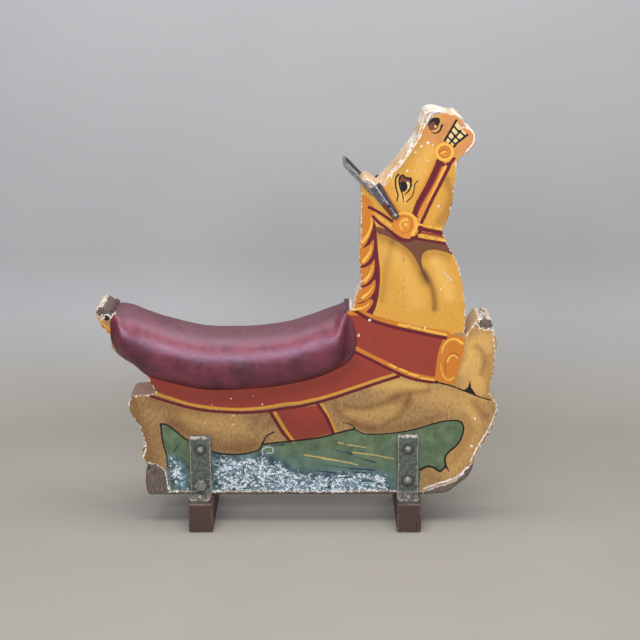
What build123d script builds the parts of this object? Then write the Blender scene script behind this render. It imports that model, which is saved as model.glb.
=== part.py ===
"""Flat painted fairground ride horse: boards glued edge to edge and sawn to a galloping outline,
an upholstered leather saddle, an iron hand loop behind the poll, and four iron brackets that bolt
the figure to two cross bearers. Millimetres; X towards the nose, Y across the figure, Z up."""
import math
import os
from build123d import *

os.makedirs("parts", exist_ok=True)

# Bearers that the whole horse stands on
BEARER_WIDTH = 58
BEARER_HEIGHT = 74
BEARER_END = 3.5
BEARER_OFFSET = 2
BEARER_EASING = 2.5

# Figure: thickness, glue joints along X, and dowels at their heights above the bearers
FIGURE_THICKNESS = 110
JOINTS = [-350, -201, -52, 97, 246, 395]
TAIL_SPLIT = 268
DOWEL_DIAMETER = 16
DOWEL_LENGTH = 50
DOWEL_CLEARANCE = 0.2
DOWEL_LEVELS = [(216, 342, 376), (80, 220, 320), (80, 220, 320), (80, 220, 370),
                (80, 220, 380, 540, 640, 785), (80, 220, 350)]
KNEE_NOTCH = 401

# Outline of the figure, as (X, height above the bearers), from the back round by the tail
BACK = [(128, 467), (100, 451), (50, 409), (-40, 376), (-140, 366), (-240, 375), (-340, 411), (-432, 457)]
TAIL = [(-432, 457), (-451, 469), (-463, 474), (-473, 469), (-476, 460), (-470, 438), (-458, 417),
        (-446, 401), (-443, 379), (-427, 354), (-399, 335), (-369, 317), (-356, 292), (-338, 261)]
RUMP_TOP = [(-338, 261), (-354, 255), (-395, 252)]
HOCK = [(-395, 252), (-404, 243), (-408, 232), (-401, 207), (-385, 182), (-377, 156), (-374, 126),
        (-380, 103), (-370, 83), (-359, 67)]
HIND_HOOF = [(-359, 67), (-370, 63), (-372, 33), (-368, 5), (-362, 0)]
FORE_HOOF = [(310, 0), (343, 4), (362, 8), (381, 23), (407, 45), (423, 79), (432, 108), (450, 141),
             (466, 174), (475, 209), (475.5, 224), (464, 247), (455, 260)]
RAISED_SHIN = [(455, 260), (458, 285), (464, 312), (466, 349), (469, 379), (461, 416), (453, 442)]
KNEE_TOP = [(453, 442), (436, 444), (422, 442)]
BREAST = [(391, 410), (393, 452), (389, 496), (382, 535), (374, 568), (360, 597), (343, 630), (335, 656)]
JAW = [(335, 656), (346, 683), (356, 721), (358, 748), (361, 768), (363, 792), (369, 822)]
LOWER_LIP = [(369, 822), (384, 832), (395, 841), (403, 853), (405, 869), (400, 882), (390, 890), (375, 894)]
UPPER_LIP = [(375, 894), (378, 902), (376, 911), (371, 918), (359, 925)]
NOSE = [(359, 925), (327, 929), (303, 932), (288, 924)]
FOREHEAD = [(288, 924), (278, 891), (267, 864), (251, 839), (222, 802), (184, 759)]
EAR = [(184, 759), (168, 770), (153, 775), (146, 768), (145, 756)]
CREST = [(145, 756), (145, 703), (145, 656), (142, 590), (142, 573), (147, 534), (138, 503), (128, 467)]

# Saddle: (X, lower edge, crown, how far the shoulder stands out from the figure's face)
SADDLE_STATIONS = [
    (-442, 392, 441, 1.5), (-428, 360, 458, 7), (-406, 340, 463, 12), (-358, 303, 446, 17),
    (-303, 285, 428, 20), (-206, 267, 408, 21), (-57, 276, 413, 21), (46, 299, 442, 20),
    (80, 313, 455, 17), (98, 326, 457, 12), (110, 342, 444, 6), (117, 370, 410, 1.5),
]
SHOULDER_DROP = 0.32
COVER_THICKNESS = 3

# Where the hide lies flat on the figure at the saddle's ends, as (X, height above the bearers)
HEM_THICKNESS = 2
FRONT_HEM = [(112, 463), (128.5, 436), (137, 397), (137, 377), (127, 347), (103, 326), (63, 306)]
REAR_HEM = [(-431, 459), (-438, 450), (-441, 436), (-441.5, 415)]
FRONT_HEM_START, REAR_HEM_START = 60, -385
STRIP_WIDTH = 12
STRIP_THICKNESS = 2.5
REAR_STRIP_SETBACK = 6
FRONT_STRIP_SETBACK = 14
TACK_DIAMETER = 7
TACK_HEIGHT = 2.5
TACK_SHANK_DIAMETER = 2
TACK_SHANK_LENGTH = 14
TACK_CLEARANCE = 0.1
STRIP_TACKS = 5
STRIP_TACK_MARGIN = 12
EDGE_TACKS = 7
TACK_EDGE = [(116, 451), (125, 436), (130, 414), (130, 388), (126, 364), (115, 344)]

# Hand loop: bar, side plates and their fasteners, as (X, height above the bearers)
BAR_DIAMETER = 10
LOOP_BEND_RADIUS = 22
LOOP_CORNER = (108, 807)
LOOP_ROOT = (172, 741)
PLATE_HEAD = (177, 756)
PLATE_TIP = (224, 690)
PLATE_HEAD_WIDTH = 30
PLATE_HEAD_LENGTH = 6
PLATE_TIP_RADIUS = 9
PLATE_THICKNESS = 8
PLATE_BEVEL = 2.5
LOOP_CLEARANCE = 0.5
LOOP_BOLT_DIAMETER = 8
LOOP_BOLT_HEAD_DIAMETER = 14
LOOP_BOLT_HEAD_HEIGHT = 5
LOOP_NUT_FLATS = 13
LOOP_NUT_HEIGHT = 6.5
LOOP_SCREW = (197, 724)
LOOP_SPARE_HOLE = (210, 712)
LOOP_SCREW_DIAMETER = 6
LOOP_SCREW_HEAD_DIAMETER = 9
LOOP_SCREW_HEAD_HEIGHT = 2
LOOP_SCREW_LENGTH = 38

# Iron brackets: (centre X, height of the strap, upper bolt, lower bolt), heights above the bearers
BRACKETS = {"rear": (-237, 153, 119, 31), "front": (263, 157, 121, 40)}
STRAP_WIDTH = 51
STRAP_THICKNESS = 10
STRAP_TOP_LAND = 3
BEND_RADIUS = 6
FOOT_LENGTH = 56
FOOT_CORNER = 8
BRACKET_BOLT_DIAMETER = 12
UPPER_HEAD_DIAMETER = 18
UPPER_HEAD_HEIGHT = 7
LOWER_HEAD_DIAMETER = 22
LOWER_HEAD_HEIGHT = 8
NUT_FLATS = 19
NUT_HEIGHT = 9
HEAVY_NUT_FLATS = 26
HEAVY_NUT_HEIGHT = 13
NUT_CHAMFER = 1
WASHER_DIAMETER = 27
WASHER_THICKNESS = 2.5
BOLT_STICKOUT = 3
FOOT_SCREW_MARGIN = 16
FOOT_SCREW_DIAMETER = 9
FOOT_SCREW_HEAD_DIAMETER = 15
FOOT_SCREW_HEAD_HEIGHT = 6
FOOT_SCREW_LENGTH = 58
BORE_CLEARANCE = 0.3

# Places worked out from the sizes above
HALF = FIGURE_THICKNESS / 2
FACE_PLANE = Plane(origin=(0, 0, BEARER_HEIGHT), x_dir=(1, 0, 0), z_dir=(0, -1, 0))
FAR_LEFT, FAR_RIGHT, FAR_TOP = -1000, 1000, 2000
STRAP_FACE = HALF + STRAP_THICKNESS
PLATE_FACE = HALF + PLATE_THICKNESS
SIDES = (-1, 1)


def keep(piece, name):
    """Label a finished piece and write its file."""
    piece.part.label = name
    export_step(piece.part, f"parts/{name}.step")


def on_side(x, height, out, side):
    """Plane on a side of the figure, standing out from its middle, with its normal pointing away."""
    return Plane(origin=(x, side * out, BEARER_HEIGHT + height), x_dir=(1, 0, 0), z_dir=(0, side, 0))


def domed(head_diameter, head_height, shank_diameter, shank_length):
    """A domed head resting on Z = 0 with its shank below."""
    with BuildPart() as pin:
        with BuildSketch(Plane.XZ):
            with BuildLine():
                rim = (head_diameter / 2, 0)
                top = (0, head_height)
                Polyline(top, (0, -shank_length), (shank_diameter / 2, -shank_length),
                         (shank_diameter / 2, 0), rim)
                RadiusArc(rim, top, -(head_diameter ** 2 / 4 + head_height ** 2) / (2 * head_height))
            make_face()
        revolve(axis=Axis.Z)
    return pin.part


def nut(flats, height, bore):
    """A hexagon nut standing on Z = 0."""
    with BuildPart() as block:
        with BuildSketch():
            RegularPolygon(flats / 2, 6, major_radius=False)
            Circle(bore / 2, mode=Mode.SUBTRACT)
        extrude(amount=height)
        chamfer(block.faces().sort_by(Axis.Z)[-1].outer_wire().edges(), NUT_CHAMFER)
    return block.part


def bores(planes, diameter, depth):
    """Straight holes of one size, each running back from its plane."""
    with BuildPart() as holes:
        with Locations(*[plane.location for plane in planes]):
            Cylinder(diameter / 2, depth, align=(Align.CENTER, Align.CENTER, Align.MAX))
    return holes.part


def copies(piece, planes):
    """The same fastener standing on each plane."""
    with BuildPart() as group:
        with Locations(*[plane.location for plane in planes]):
            add(piece)
    return group


# The sawn figure
with BuildSketch() as figure:
    with BuildLine():
        back_edge = Spline(*BACK)
        tail_edge = Spline(*TAIL)
        Polyline(*RUMP_TOP)
        Spline(*HOCK)
        Polyline(*HIND_HOOF)
        Line(HIND_HOOF[-1], FORE_HOOF[0])
        Spline(*FORE_HOOF)
        Spline(*RAISED_SHIN)
        Polyline(*KNEE_TOP)
        Polyline(KNEE_TOP[-1], (JOINTS[-1], KNEE_NOTCH), BREAST[0])
        Spline(*BREAST)
        Spline(*JAW)
        Spline(*LOWER_LIP)
        Spline(*UPPER_LIP)
        Spline(*NOSE)
        Spline(*FOREHEAD)
        Spline(*EAR)
        Spline(*CREST)
    make_face()

with BuildPart() as whole_figure:
    with BuildSketch(FACE_PLANE):
        add(figure.sketch)
    extrude(amount=HALF, both=True)


# Where each fastener stands
dowel_planes = [Plane(origin=(x + DOWEL_LENGTH / 2, 0, BEARER_HEIGHT + level), z_dir=(1, 0, 0))
                for x, levels in zip(JOINTS, DOWEL_LEVELS) for level in levels]
upper_near = [on_side(x, upper, STRAP_FACE, -1) for x, _, upper, _ in BRACKETS.values()]
upper_far = [on_side(x, upper, STRAP_FACE, 1) for x, _, upper, _ in BRACKETS.values()]
lower_near = [on_side(x, lower, STRAP_FACE, -1) for x, _, _, lower in BRACKETS.values()]
lower_far = [on_side(x, lower, STRAP_FACE, 1) for x, _, _, lower in BRACKETS.values()]
foot_screw_out = HALF + FOOT_LENGTH - FOOT_SCREW_MARGIN
foot_planes = [Plane(origin=(x, side * foot_screw_out, BEARER_HEIGHT + STRAP_THICKNESS))
               for x, _, _, _ in BRACKETS.values() for side in SIDES]
loop_bolt_near = on_side(*PLATE_TIP, PLATE_FACE, -1)
loop_bolt_far = on_side(*PLATE_TIP, PLATE_FACE, 1)
loop_screw_planes = [on_side(*LOOP_SCREW, PLATE_FACE, side) for side in SIDES]
spare_hole_planes = [on_side(*LOOP_SPARE_HOLE, PLATE_FACE, side) for side in SIDES]


def strip_plane(edge, setback):
    """Plane lying on the figure's top edge, a set way along one of its curves, with its normal up."""
    spot = edge.position_at(setback, position_mode=PositionMode.LENGTH)
    along = edge.tangent_at(setback, position_mode=PositionMode.LENGTH)
    return Plane(origin=(spot.X, 0, BEARER_HEIGHT + spot.Y), x_dir=(along.X, 0, along.Y),
                 z_dir=(along.Y, 0, -along.X))


strip_planes = {"rear": strip_plane(tail_edge, REAR_STRIP_SETBACK),
                "front": strip_plane(back_edge, FRONT_STRIP_SETBACK)}
with BuildLine():
    tack_curve = Spline(*TACK_EDGE)
tack_spots = [tack_curve @ (i / (EDGE_TACKS - 1)) for i in range(EDGE_TACKS)]
tack_pitch = (FIGURE_THICKNESS - 2 * STRIP_TACK_MARGIN) / (STRIP_TACKS - 1)
tack_planes = [on_side(spot.X, spot.Y, HALF + HEM_THICKNESS, side) for spot in tack_spots for side in SIDES]
for strip in strip_planes.values():
    for i in range(STRIP_TACKS):
        across = tack_pitch * (i - (STRIP_TACKS - 1) / 2)
        spot = strip.from_local_coords((0, across, STRIP_THICKNESS))
        tack_planes.append(Plane(origin=spot, x_dir=strip.x_dir, z_dir=strip.z_dir))

# Holes that the boards, straps, plates and strips share
dowel_bores = bores(dowel_planes, DOWEL_DIAMETER + 2 * DOWEL_CLEARANCE, DOWEL_LENGTH)
bolt_bores = bores(upper_near + lower_near, BRACKET_BOLT_DIAMETER + 2 * BORE_CLEARANCE, 2 * STRAP_FACE)
foot_bores = bores(foot_planes, FOOT_SCREW_DIAMETER + 2 * BORE_CLEARANCE, FOOT_SCREW_LENGTH)
loop_bolt_bore = bores([loop_bolt_near], LOOP_BOLT_DIAMETER + 2 * BORE_CLEARANCE, 2 * PLATE_FACE)
loop_screw_bores = bores(loop_screw_planes, LOOP_SCREW_DIAMETER + 2 * BORE_CLEARANCE, LOOP_SCREW_LENGTH)
spare_bores = bores(spare_hole_planes, LOOP_SCREW_DIAMETER, LOOP_SCREW_LENGTH)
tack_bores = bores(tack_planes, TACK_SHANK_DIAMETER + 2 * TACK_CLEARANCE, TACK_SHANK_LENGTH)
board_bores = [dowel_bores, bolt_bores, loop_bolt_bore, loop_screw_bores, spare_bores, tack_bores]

# Boards: each is the figure between two glue joints, as (left, right, bottom, top) fields; beyond the
# last joint, the knee's board and the muzzle part half way between the raised knee and the chin
knee_to_chin = (KNEE_TOP[1][1] + LOWER_LIP[0][1]) / 2
BOARD_FIELDS = {
    "tail_board": [(FAR_LEFT, JOINTS[0], TAIL_SPLIT, FAR_TOP)],
    "hock_board": [(FAR_LEFT, JOINTS[0], 0, TAIL_SPLIT)],
    "haunch_board": [(JOINTS[0], JOINTS[1], 0, FAR_TOP)],
    "flank_board": [(JOINTS[1], JOINTS[2], 0, FAR_TOP)],
    "girth_board": [(JOINTS[2], JOINTS[3], 0, FAR_TOP)],
    "crest_board": [(JOINTS[3], JOINTS[4], 0, FAR_TOP)],
    "throat_board": [(JOINTS[4], JOINTS[5], 0, FAR_TOP), (JOINTS[5], FAR_RIGHT, knee_to_chin, FAR_TOP)],
    "knee_board": [(JOINTS[5], FAR_RIGHT, 0, knee_to_chin)],
}
for name, fields in BOARD_FIELDS.items():
    with BuildPart() as board:
        with BuildSketch(FACE_PLANE):
            for left, right, bottom, top in fields:
                with Locations(((left + right) / 2, (bottom + top) / 2)):
                    Rectangle(right - left, top - bottom)
            add(figure.sketch, mode=Mode.INTERSECT)
        extrude(amount=HALF, both=True)
        for holes in board_bores:
            add(holes, mode=Mode.SUBTRACT)
    keep(board, name)

with BuildPart() as board_dowels:
    with Locations(*[plane.location for plane in dowel_planes]):
        Cylinder(DOWEL_DIAMETER / 2, DOWEL_LENGTH, align=(Align.CENTER, Align.CENTER, Align.MAX))
keep(board_dowels, "board_dowels")


# Saddle: stuffing and leather over the figure's back
def saddle_form(inset):
    """Arched sections from tail to neck: a crown arc, then a side arc drawn in to the lower edge."""
    last = len(SADDLE_STATIONS) - 1
    with BuildPart() as form:
        for i, (x, low, crown, stand_out) in enumerate(SADDLE_STATIONS):
            shift = inset * ((i == 0) - (i == last))
            across = HALF + stand_out - inset
            top = crown - inset
            shoulder = crown - SHOULDER_DROP * (crown - low) - inset
            with BuildSketch(Plane(origin=(x + shift, 0, BEARER_HEIGHT), x_dir=(0, 1, 0), z_dir=(1, 0, 0))):
                with BuildLine():
                    arch = ThreePointArc((across, shoulder), (0, top), (-across, shoulder))
                    TangentArc((-across, shoulder), (-HALF, low + inset), tangent=arch % 1)
                    Line((-HALF, low + inset), (HALF, low + inset))
                    TangentArc((across, shoulder), (HALF, low + inset), tangent=-(arch % 0))
                make_face()
        loft()
        add(whole_figure.part, mode=Mode.SUBTRACT)
    return form


saddle_padding = saddle_form(COVER_THICKNESS)
keep(saddle_padding, "saddle_padding")
saddle_outside = saddle_form(0)
with BuildPart() as saddle_cover:
    add(saddle_outside.part)
    add(saddle_padding.part, mode=Mode.SUBTRACT)
keep(saddle_cover, "saddle_cover")

# The hide's hems, tacked flat to the figure at both ends of the saddle
with BuildPart() as saddle_hems:
    for hem, start in ((FRONT_HEM, FRONT_HEM_START), (REAR_HEM, REAR_HEM_START)):
        with BuildSketch(FACE_PLANE):
            with Locations((0, HEM_THICKNESS)):
                add(figure.sketch)
            with BuildSketch(mode=Mode.INTERSECT):
                with BuildLine():
                    edge = Spline(*hem)
                    Polyline(edge @ 1, (start, (edge @ 1).Y), (start, FAR_TOP), ((edge @ 0).X, FAR_TOP),
                             edge @ 0)
                make_face()
        extrude(amount=HALF + HEM_THICKNESS, both=True)
    for cut in (whole_figure.part, tack_bores, saddle_outside.part):
        add(cut, mode=Mode.SUBTRACT)
keep(saddle_hems, "saddle_hems")

for name, strip in strip_planes.items():
    with BuildPart() as edge_strip:
        with BuildSketch(strip.offset(STRIP_THICKNESS)):
            Rectangle(STRIP_WIDTH, FIGURE_THICKNESS)
        extrude(amount=-2 * STRIP_THICKNESS)
        add(whole_figure.part, mode=Mode.SUBTRACT)
        for cut in (saddle_outside.part, saddle_hems.part, tack_bores):
            add(cut, mode=Mode.SUBTRACT)
    keep(edge_strip, f"{name}_saddle_strip")

tack = domed(TACK_DIAMETER, TACK_HEIGHT, TACK_SHANK_DIAMETER, TACK_SHANK_LENGTH)
keep(copies(tack, tack_planes), "saddle_tacks")


# Hand loop: a bent bar with a tapering plate on each side of the head
plate_run = Vector(*PLATE_TIP) - Vector(*PLATE_HEAD)
plate_turn = math.degrees(math.atan2(plate_run.Y, plate_run.X))
with BuildPart() as hand_loop:
    for plane, out in ((FACE_PLANE.offset(HALF), 1), (FACE_PLANE.offset(-HALF), -1)):
        with BuildSketch(plane):
            with Locations(PLATE_TIP):
                Circle(PLATE_TIP_RADIUS)
            with Locations(Location((*PLATE_HEAD, 0), plate_turn)):
                Rectangle(PLATE_HEAD_LENGTH, PLATE_HEAD_WIDTH)
            make_hull()
        extrude(amount=out * PLATE_THICKNESS)
    outer_faces = hand_loop.faces().filter_by(Axis.Y).sort_by(Axis.Y)
    chamfer(outer_faces[0].edges() + outer_faces[-1].edges(), PLATE_BEVEL)
    bar_out = HALF + LOOP_CLEARANCE + BAR_DIAMETER / 2
    near_root = (LOOP_ROOT[0], -bar_out, BEARER_HEIGHT + LOOP_ROOT[1])
    near_corner = (LOOP_CORNER[0], -bar_out, BEARER_HEIGHT + LOOP_CORNER[1])
    far_corner = (LOOP_CORNER[0], bar_out, BEARER_HEIGHT + LOOP_CORNER[1])
    far_root = (LOOP_ROOT[0], bar_out, BEARER_HEIGHT + LOOP_ROOT[1])
    with BuildLine() as bar_route:
        FilletPolyline(near_root, near_corner, far_corner, far_root, radius=LOOP_BEND_RADIUS)
    with BuildSketch(Plane(origin=near_root, z_dir=bar_route.line % 0)):
        Circle(BAR_DIAMETER / 2)
    sweep()
    for holes in (loop_bolt_bore, loop_screw_bores, spare_bores):
        add(holes, mode=Mode.SUBTRACT)
keep(hand_loop, "hand_loop")

loop_bolt_length = 2 * PLATE_FACE + LOOP_NUT_HEIGHT + BOLT_STICKOUT
loop_bolt = domed(LOOP_BOLT_HEAD_DIAMETER, LOOP_BOLT_HEAD_HEIGHT, LOOP_BOLT_DIAMETER, loop_bolt_length)
keep(copies(loop_bolt, [loop_bolt_near]), "hand_loop_bolt")
loop_nut = nut(LOOP_NUT_FLATS, LOOP_NUT_HEIGHT, LOOP_BOLT_DIAMETER + 2 * BORE_CLEARANCE)
keep(copies(loop_nut, [loop_bolt_far]), "hand_loop_nut")
loop_screw = domed(LOOP_SCREW_HEAD_DIAMETER, LOOP_SCREW_HEAD_HEIGHT, LOOP_SCREW_DIAMETER, LOOP_SCREW_LENGTH)
keep(copies(loop_screw, loop_screw_planes), "hand_loop_screws")


# Brackets: an upright strap on the figure's face, bevelled at its top, and a foot on the bearer
strap_bevel = STRAP_THICKNESS - STRAP_TOP_LAND
for place, (x, strap_height, _, _) in BRACKETS.items():
    for side_name, side in zip(("near", "far"), SIDES):
        with BuildPart() as bracket:
            profile_plane = Plane(origin=(x, 0, BEARER_HEIGHT), x_dir=(0, side, 0), z_dir=(side, 0, 0))
            with BuildSketch(profile_plane) as profile:
                with BuildLine():
                    Polyline(
                        (HALF, 0), (HALF + FOOT_LENGTH, 0), (HALF + FOOT_LENGTH, STRAP_THICKNESS),
                        (STRAP_FACE, STRAP_THICKNESS), (STRAP_FACE, strap_height - strap_bevel),
                        (STRAP_FACE - strap_bevel, strap_height), (HALF, strap_height), close=True)
                make_face()
                inner_corner = profile.vertices().sort_by_distance((STRAP_FACE, STRAP_THICKNESS))[0]
                fillet(inner_corner, BEND_RADIUS)
            extrude(amount=STRAP_WIDTH / 2, both=True)
            toe = bracket.edges().filter_by(Axis.Z).group_by(Axis.Y)[min(0, -side)]
            fillet(toe, FOOT_CORNER)
            for holes in (bolt_bores, foot_bores):
                add(holes, mode=Mode.SUBTRACT)
        keep(bracket, f"{place}_{side_name}_bracket")

# Bracket bolts: domes on the near side and nuts on washers on the far side, but the rear lower bolt
# is the other way round and takes a heavy nut
bolt_length = 2 * STRAP_FACE + WASHER_THICKNESS + NUT_HEIGHT + BOLT_STICKOUT
heavy_bolt_length = 2 * STRAP_FACE + HEAVY_NUT_HEIGHT + BOLT_STICKOUT
bolt_bore = BRACKET_BOLT_DIAMETER + 2 * BORE_CLEARANCE
upper_bolt = domed(UPPER_HEAD_DIAMETER, UPPER_HEAD_HEIGHT, BRACKET_BOLT_DIAMETER, bolt_length)
keep(copies(upper_bolt, upper_near), "upper_bracket_bolts")
front_lower_bolt = domed(LOWER_HEAD_DIAMETER, LOWER_HEAD_HEIGHT, BRACKET_BOLT_DIAMETER, bolt_length)
keep(copies(front_lower_bolt, lower_near[1:]), "front_lower_bolt")
rear_lower_bolt = domed(LOWER_HEAD_DIAMETER, LOWER_HEAD_HEIGHT, BRACKET_BOLT_DIAMETER, heavy_bolt_length)
keep(copies(rear_lower_bolt, lower_far[:1]), "rear_lower_bolt")
heavy_nut = nut(HEAVY_NUT_FLATS, HEAVY_NUT_HEIGHT, bolt_bore)
keep(copies(heavy_nut, lower_near[:1]), "heavy_nut")
washer_planes = upper_far + lower_far[1:]
with BuildPart() as washer:
    with BuildSketch():
        Circle(WASHER_DIAMETER / 2)
        Circle(bolt_bore / 2, mode=Mode.SUBTRACT)
    extrude(amount=WASHER_THICKNESS)
keep(copies(washer.part, washer_planes), "bolt_washers")
bracket_nut = nut(NUT_FLATS, NUT_HEIGHT, bolt_bore)
keep(copies(bracket_nut, [plane.offset(WASHER_THICKNESS) for plane in washer_planes]), "bolt_nuts")
foot_screw = domed(FOOT_SCREW_HEAD_DIAMETER, FOOT_SCREW_HEAD_HEIGHT, FOOT_SCREW_DIAMETER, FOOT_SCREW_LENGTH)
keep(copies(foot_screw, foot_planes), "foot_screws")

# Cross bearers, a little longer than the two feet that stand on each
bearer_length = 2 * (HALF + FOOT_LENGTH + BEARER_END)
for place, (x, _, _, _) in BRACKETS.items():
    with BuildPart() as bearer:
        with Locations((x + BEARER_OFFSET, 0, 0)):
            Box(BEARER_WIDTH, bearer_length, BEARER_HEIGHT, align=(Align.CENTER, Align.CENTER, Align.MIN))
        chamfer(bearer.edges(), BEARER_EASING)
        add(foot_bores, mode=Mode.SUBTRACT)
    keep(bearer, f"{place}_bearer")
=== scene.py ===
# %% [markdown]
# # A painted fairground ride horse
# The horse is a flat figure: thick pine boards glued edge to edge, sawn to a galloping outline and painted
# by hand on both faces. The CAD frame already holds every board, bolt and bracket at its real size, so this
# file only dresses them. Each new piece is worked out with numpy in millimetres and put into a mesh in
# metres.

# %% Load the frame
import math
import bpy
import numpy as np
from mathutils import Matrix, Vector


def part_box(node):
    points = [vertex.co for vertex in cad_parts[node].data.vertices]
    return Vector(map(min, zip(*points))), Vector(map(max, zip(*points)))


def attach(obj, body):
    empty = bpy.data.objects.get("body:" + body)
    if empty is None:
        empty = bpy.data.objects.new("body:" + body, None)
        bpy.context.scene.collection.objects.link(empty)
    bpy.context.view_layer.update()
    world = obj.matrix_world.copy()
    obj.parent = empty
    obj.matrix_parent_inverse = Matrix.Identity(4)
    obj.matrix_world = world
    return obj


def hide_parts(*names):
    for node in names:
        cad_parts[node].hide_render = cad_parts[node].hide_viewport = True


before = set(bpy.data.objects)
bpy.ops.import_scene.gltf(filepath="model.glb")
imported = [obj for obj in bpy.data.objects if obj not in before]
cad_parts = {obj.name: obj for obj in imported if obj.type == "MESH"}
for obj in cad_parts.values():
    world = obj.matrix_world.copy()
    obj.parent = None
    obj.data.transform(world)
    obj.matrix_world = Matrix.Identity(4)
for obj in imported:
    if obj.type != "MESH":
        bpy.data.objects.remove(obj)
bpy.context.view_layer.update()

MM = 0.001

# %% [markdown]
# ## Small tools
# Colours are written as the sRGB hex values one would read off a paint chart, and one function turns them
# into the linear numbers that the shader works with. A second function adds a shader node, because a
# material is easier to read as a list of nodes with their settings than as pages of single assignments.


# %% Colour, node and material helpers
def linear(code):
    """sRGB hex to linear RGBA: v / 12.92 near black, otherwise ((v + 0.055) / 1.055) to the power 2.4."""
    values = np.array([int(code[i:i + 2], 16) for i in (1, 3, 5)]) / 255
    values = np.where(values <= 0.04045, values / 12.92, ((values + 0.055) / 1.055) ** 2.4)
    return (*values.tolist(), 1.0)


def add(tree, kind, inputs=(), out=0, **settings):
    """Add a shader node and give one of its outputs. Inputs, by name or in socket order, are plain values,
    hex colours or other nodes' outputs; settings are the node's own properties."""
    made = tree.nodes.new("ShaderNode" + kind)
    for name, value in settings.items():
        setattr(made, name, value)
    for socket, value in inputs.items() if isinstance(inputs, dict) else enumerate(inputs):
        if isinstance(value, bpy.types.NodeSocket):
            tree.links.new(value, made.inputs[socket])
        else:
            made.inputs[socket].default_value = linear(value) if isinstance(value, str) else value
    return made.outputs[out] if made.outputs else None


# A Mix node that blends colours, and one that multiplies them. Both give the colour at output 2.
COLOURS = {"data_type": "RGBA", "out": 2}
TINTS = {"data_type": "RGBA", "out": 2, "blend_type": "MULTIPLY"}


def new_material(name):
    """An empty material and its node tree."""
    material = bpy.data.materials.new(name)
    material.use_nodes = True
    material.node_tree.nodes.clear()
    return material, material.node_tree


def per_metre(size_mm):
    """Texture scale, in repeats to the metre, for a pattern of one size."""
    return 1 / (size_mm * MM)


# %% Mesh helper
def make_piece(name, points, faces, material, fields=None, slot=None, replaces=()):
    """Put points (mm) and equal-sided faces into a mesh, with one float attribute for each field."""
    mesh = bpy.data.meshes.new(name)
    count, sides = faces.shape
    mesh.vertices.add(len(points))
    mesh.vertices.foreach_set("co", (points * MM).ravel())
    mesh.loops.add(count * sides)
    mesh.loops.foreach_set("vertex_index", faces.ravel().astype(np.int32))
    mesh.polygons.add(count)
    mesh.polygons.foreach_set("loop_start", np.arange(0, count * sides, sides, dtype=np.int32))
    mesh.polygons.foreach_set("use_smooth", np.ones(count, bool))
    for field, values in (fields or {}).items():
        mesh.attributes.new(field, "FLOAT", "POINT").data.foreach_set("value", np.asarray(values, np.float32))
    mesh.update(calc_edges=True)
    mesh.validate()
    mesh.materials.append(material)
    piece = bpy.data.objects.new(name, mesh)
    bpy.context.scene.collection.objects.link(piece)
    if slot:
        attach(piece, "root")
        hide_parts(*replaces)
    return piece


# %% [markdown]
# ## The camera
# A long lens at a standing person's chest height looks down a little. The numbers that place the camera also
# say where a spot of the picture lies on the horse's near face, so the painted ornament can be drawn in
# picture coordinates, where it was measured, and still be real paint on a real board.

# %% Camera
CAMERA = np.array([51.0, -3278.6, 1396.2])
LENS_MM = 80
SENSOR_MM = 36
PICTURE = 640
PITCH = math.radians(15.3)
FOCAL = PICTURE * LENS_MM / SENSOR_MM

lens = bpy.data.cameras.new("camera")
lens.lens = LENS_MM
lens.sensor_width = SENSOR_MM
camera = bpy.data.objects.new("camera", lens)
camera.location = CAMERA * MM
camera.rotation_euler = (math.pi / 2 - PITCH, 0, 0)
bpy.context.scene.collection.objects.link(camera)
bpy.context.scene.camera = camera
bpy.context.scene.view_settings.view_transform = "Standard"

NEAR_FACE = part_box("flank_board")[0][1] / MM
HALF = -NEAR_FACE


def on_face(pixels):
    """Picture spots to (X, Z) on the near face, where the camera's ray through the spot meets its plane."""
    pixels = np.asarray(pixels, float).reshape(-1, 2)
    across = (pixels[:, 0] - PICTURE / 2) / FOCAL
    up = -(pixels[:, 1] - PICTURE / 2) / FOCAL
    ahead = up * math.sin(PITCH) + math.cos(PITCH)
    rise = up * math.cos(PITCH) - math.sin(PITCH)
    reach = (NEAR_FACE - CAMERA[1]) / ahead
    return np.stack([CAMERA[0] + across * reach, CAMERA[2] + rise * reach], 1)


centre = PICTURE / 2
PIXEL = float(np.diff(on_face([(centre, centre), (centre + 1, centre)])[:, 0])[0])
print("one picture pixel is", round(PIXEL, 2), "mm on the near face")

# %% [markdown]
# ## Floor and light
# A pale sheet that runs up behind the object is the usual product stage. Its back is clear, so the horse
# can also be looked at from behind. The light is soft and comes from above and in front: a large overhead
# panel, a long cool strip in front that draws one streak along the saddle, a weak panel at the side, one at
# the back for views from behind, and an even grey world.

# %% Stage
FLOOR_FRONT, FLOOR_BACK, COVE_RADIUS, WALL_TOP, STAGE_HALF = -40000, 620, 420, 3200, 30000
PAPER_CLOUD_MM = 454.5
WALL_TONE_ABOVE_M = 0.25
bend = np.linspace(0, math.pi / 2, 13)
cove = np.stack([FLOOR_BACK + COVE_RADIUS * np.sin(bend), COVE_RADIUS * (1 - np.cos(bend))], 1)
side_line = np.vstack([[FLOOR_FRONT, 0], cove, [FLOOR_BACK + COVE_RADIUS, WALL_TOP]])
stage_points = np.concatenate([np.insert(side_line, 0, x, axis=1) for x in (-STAGE_HALF, STAGE_HALF)])
row = np.arange(len(side_line) - 1)
stage_faces = np.stack([row, row + len(side_line), row + len(side_line) + 1, row + 1], 1)

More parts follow.
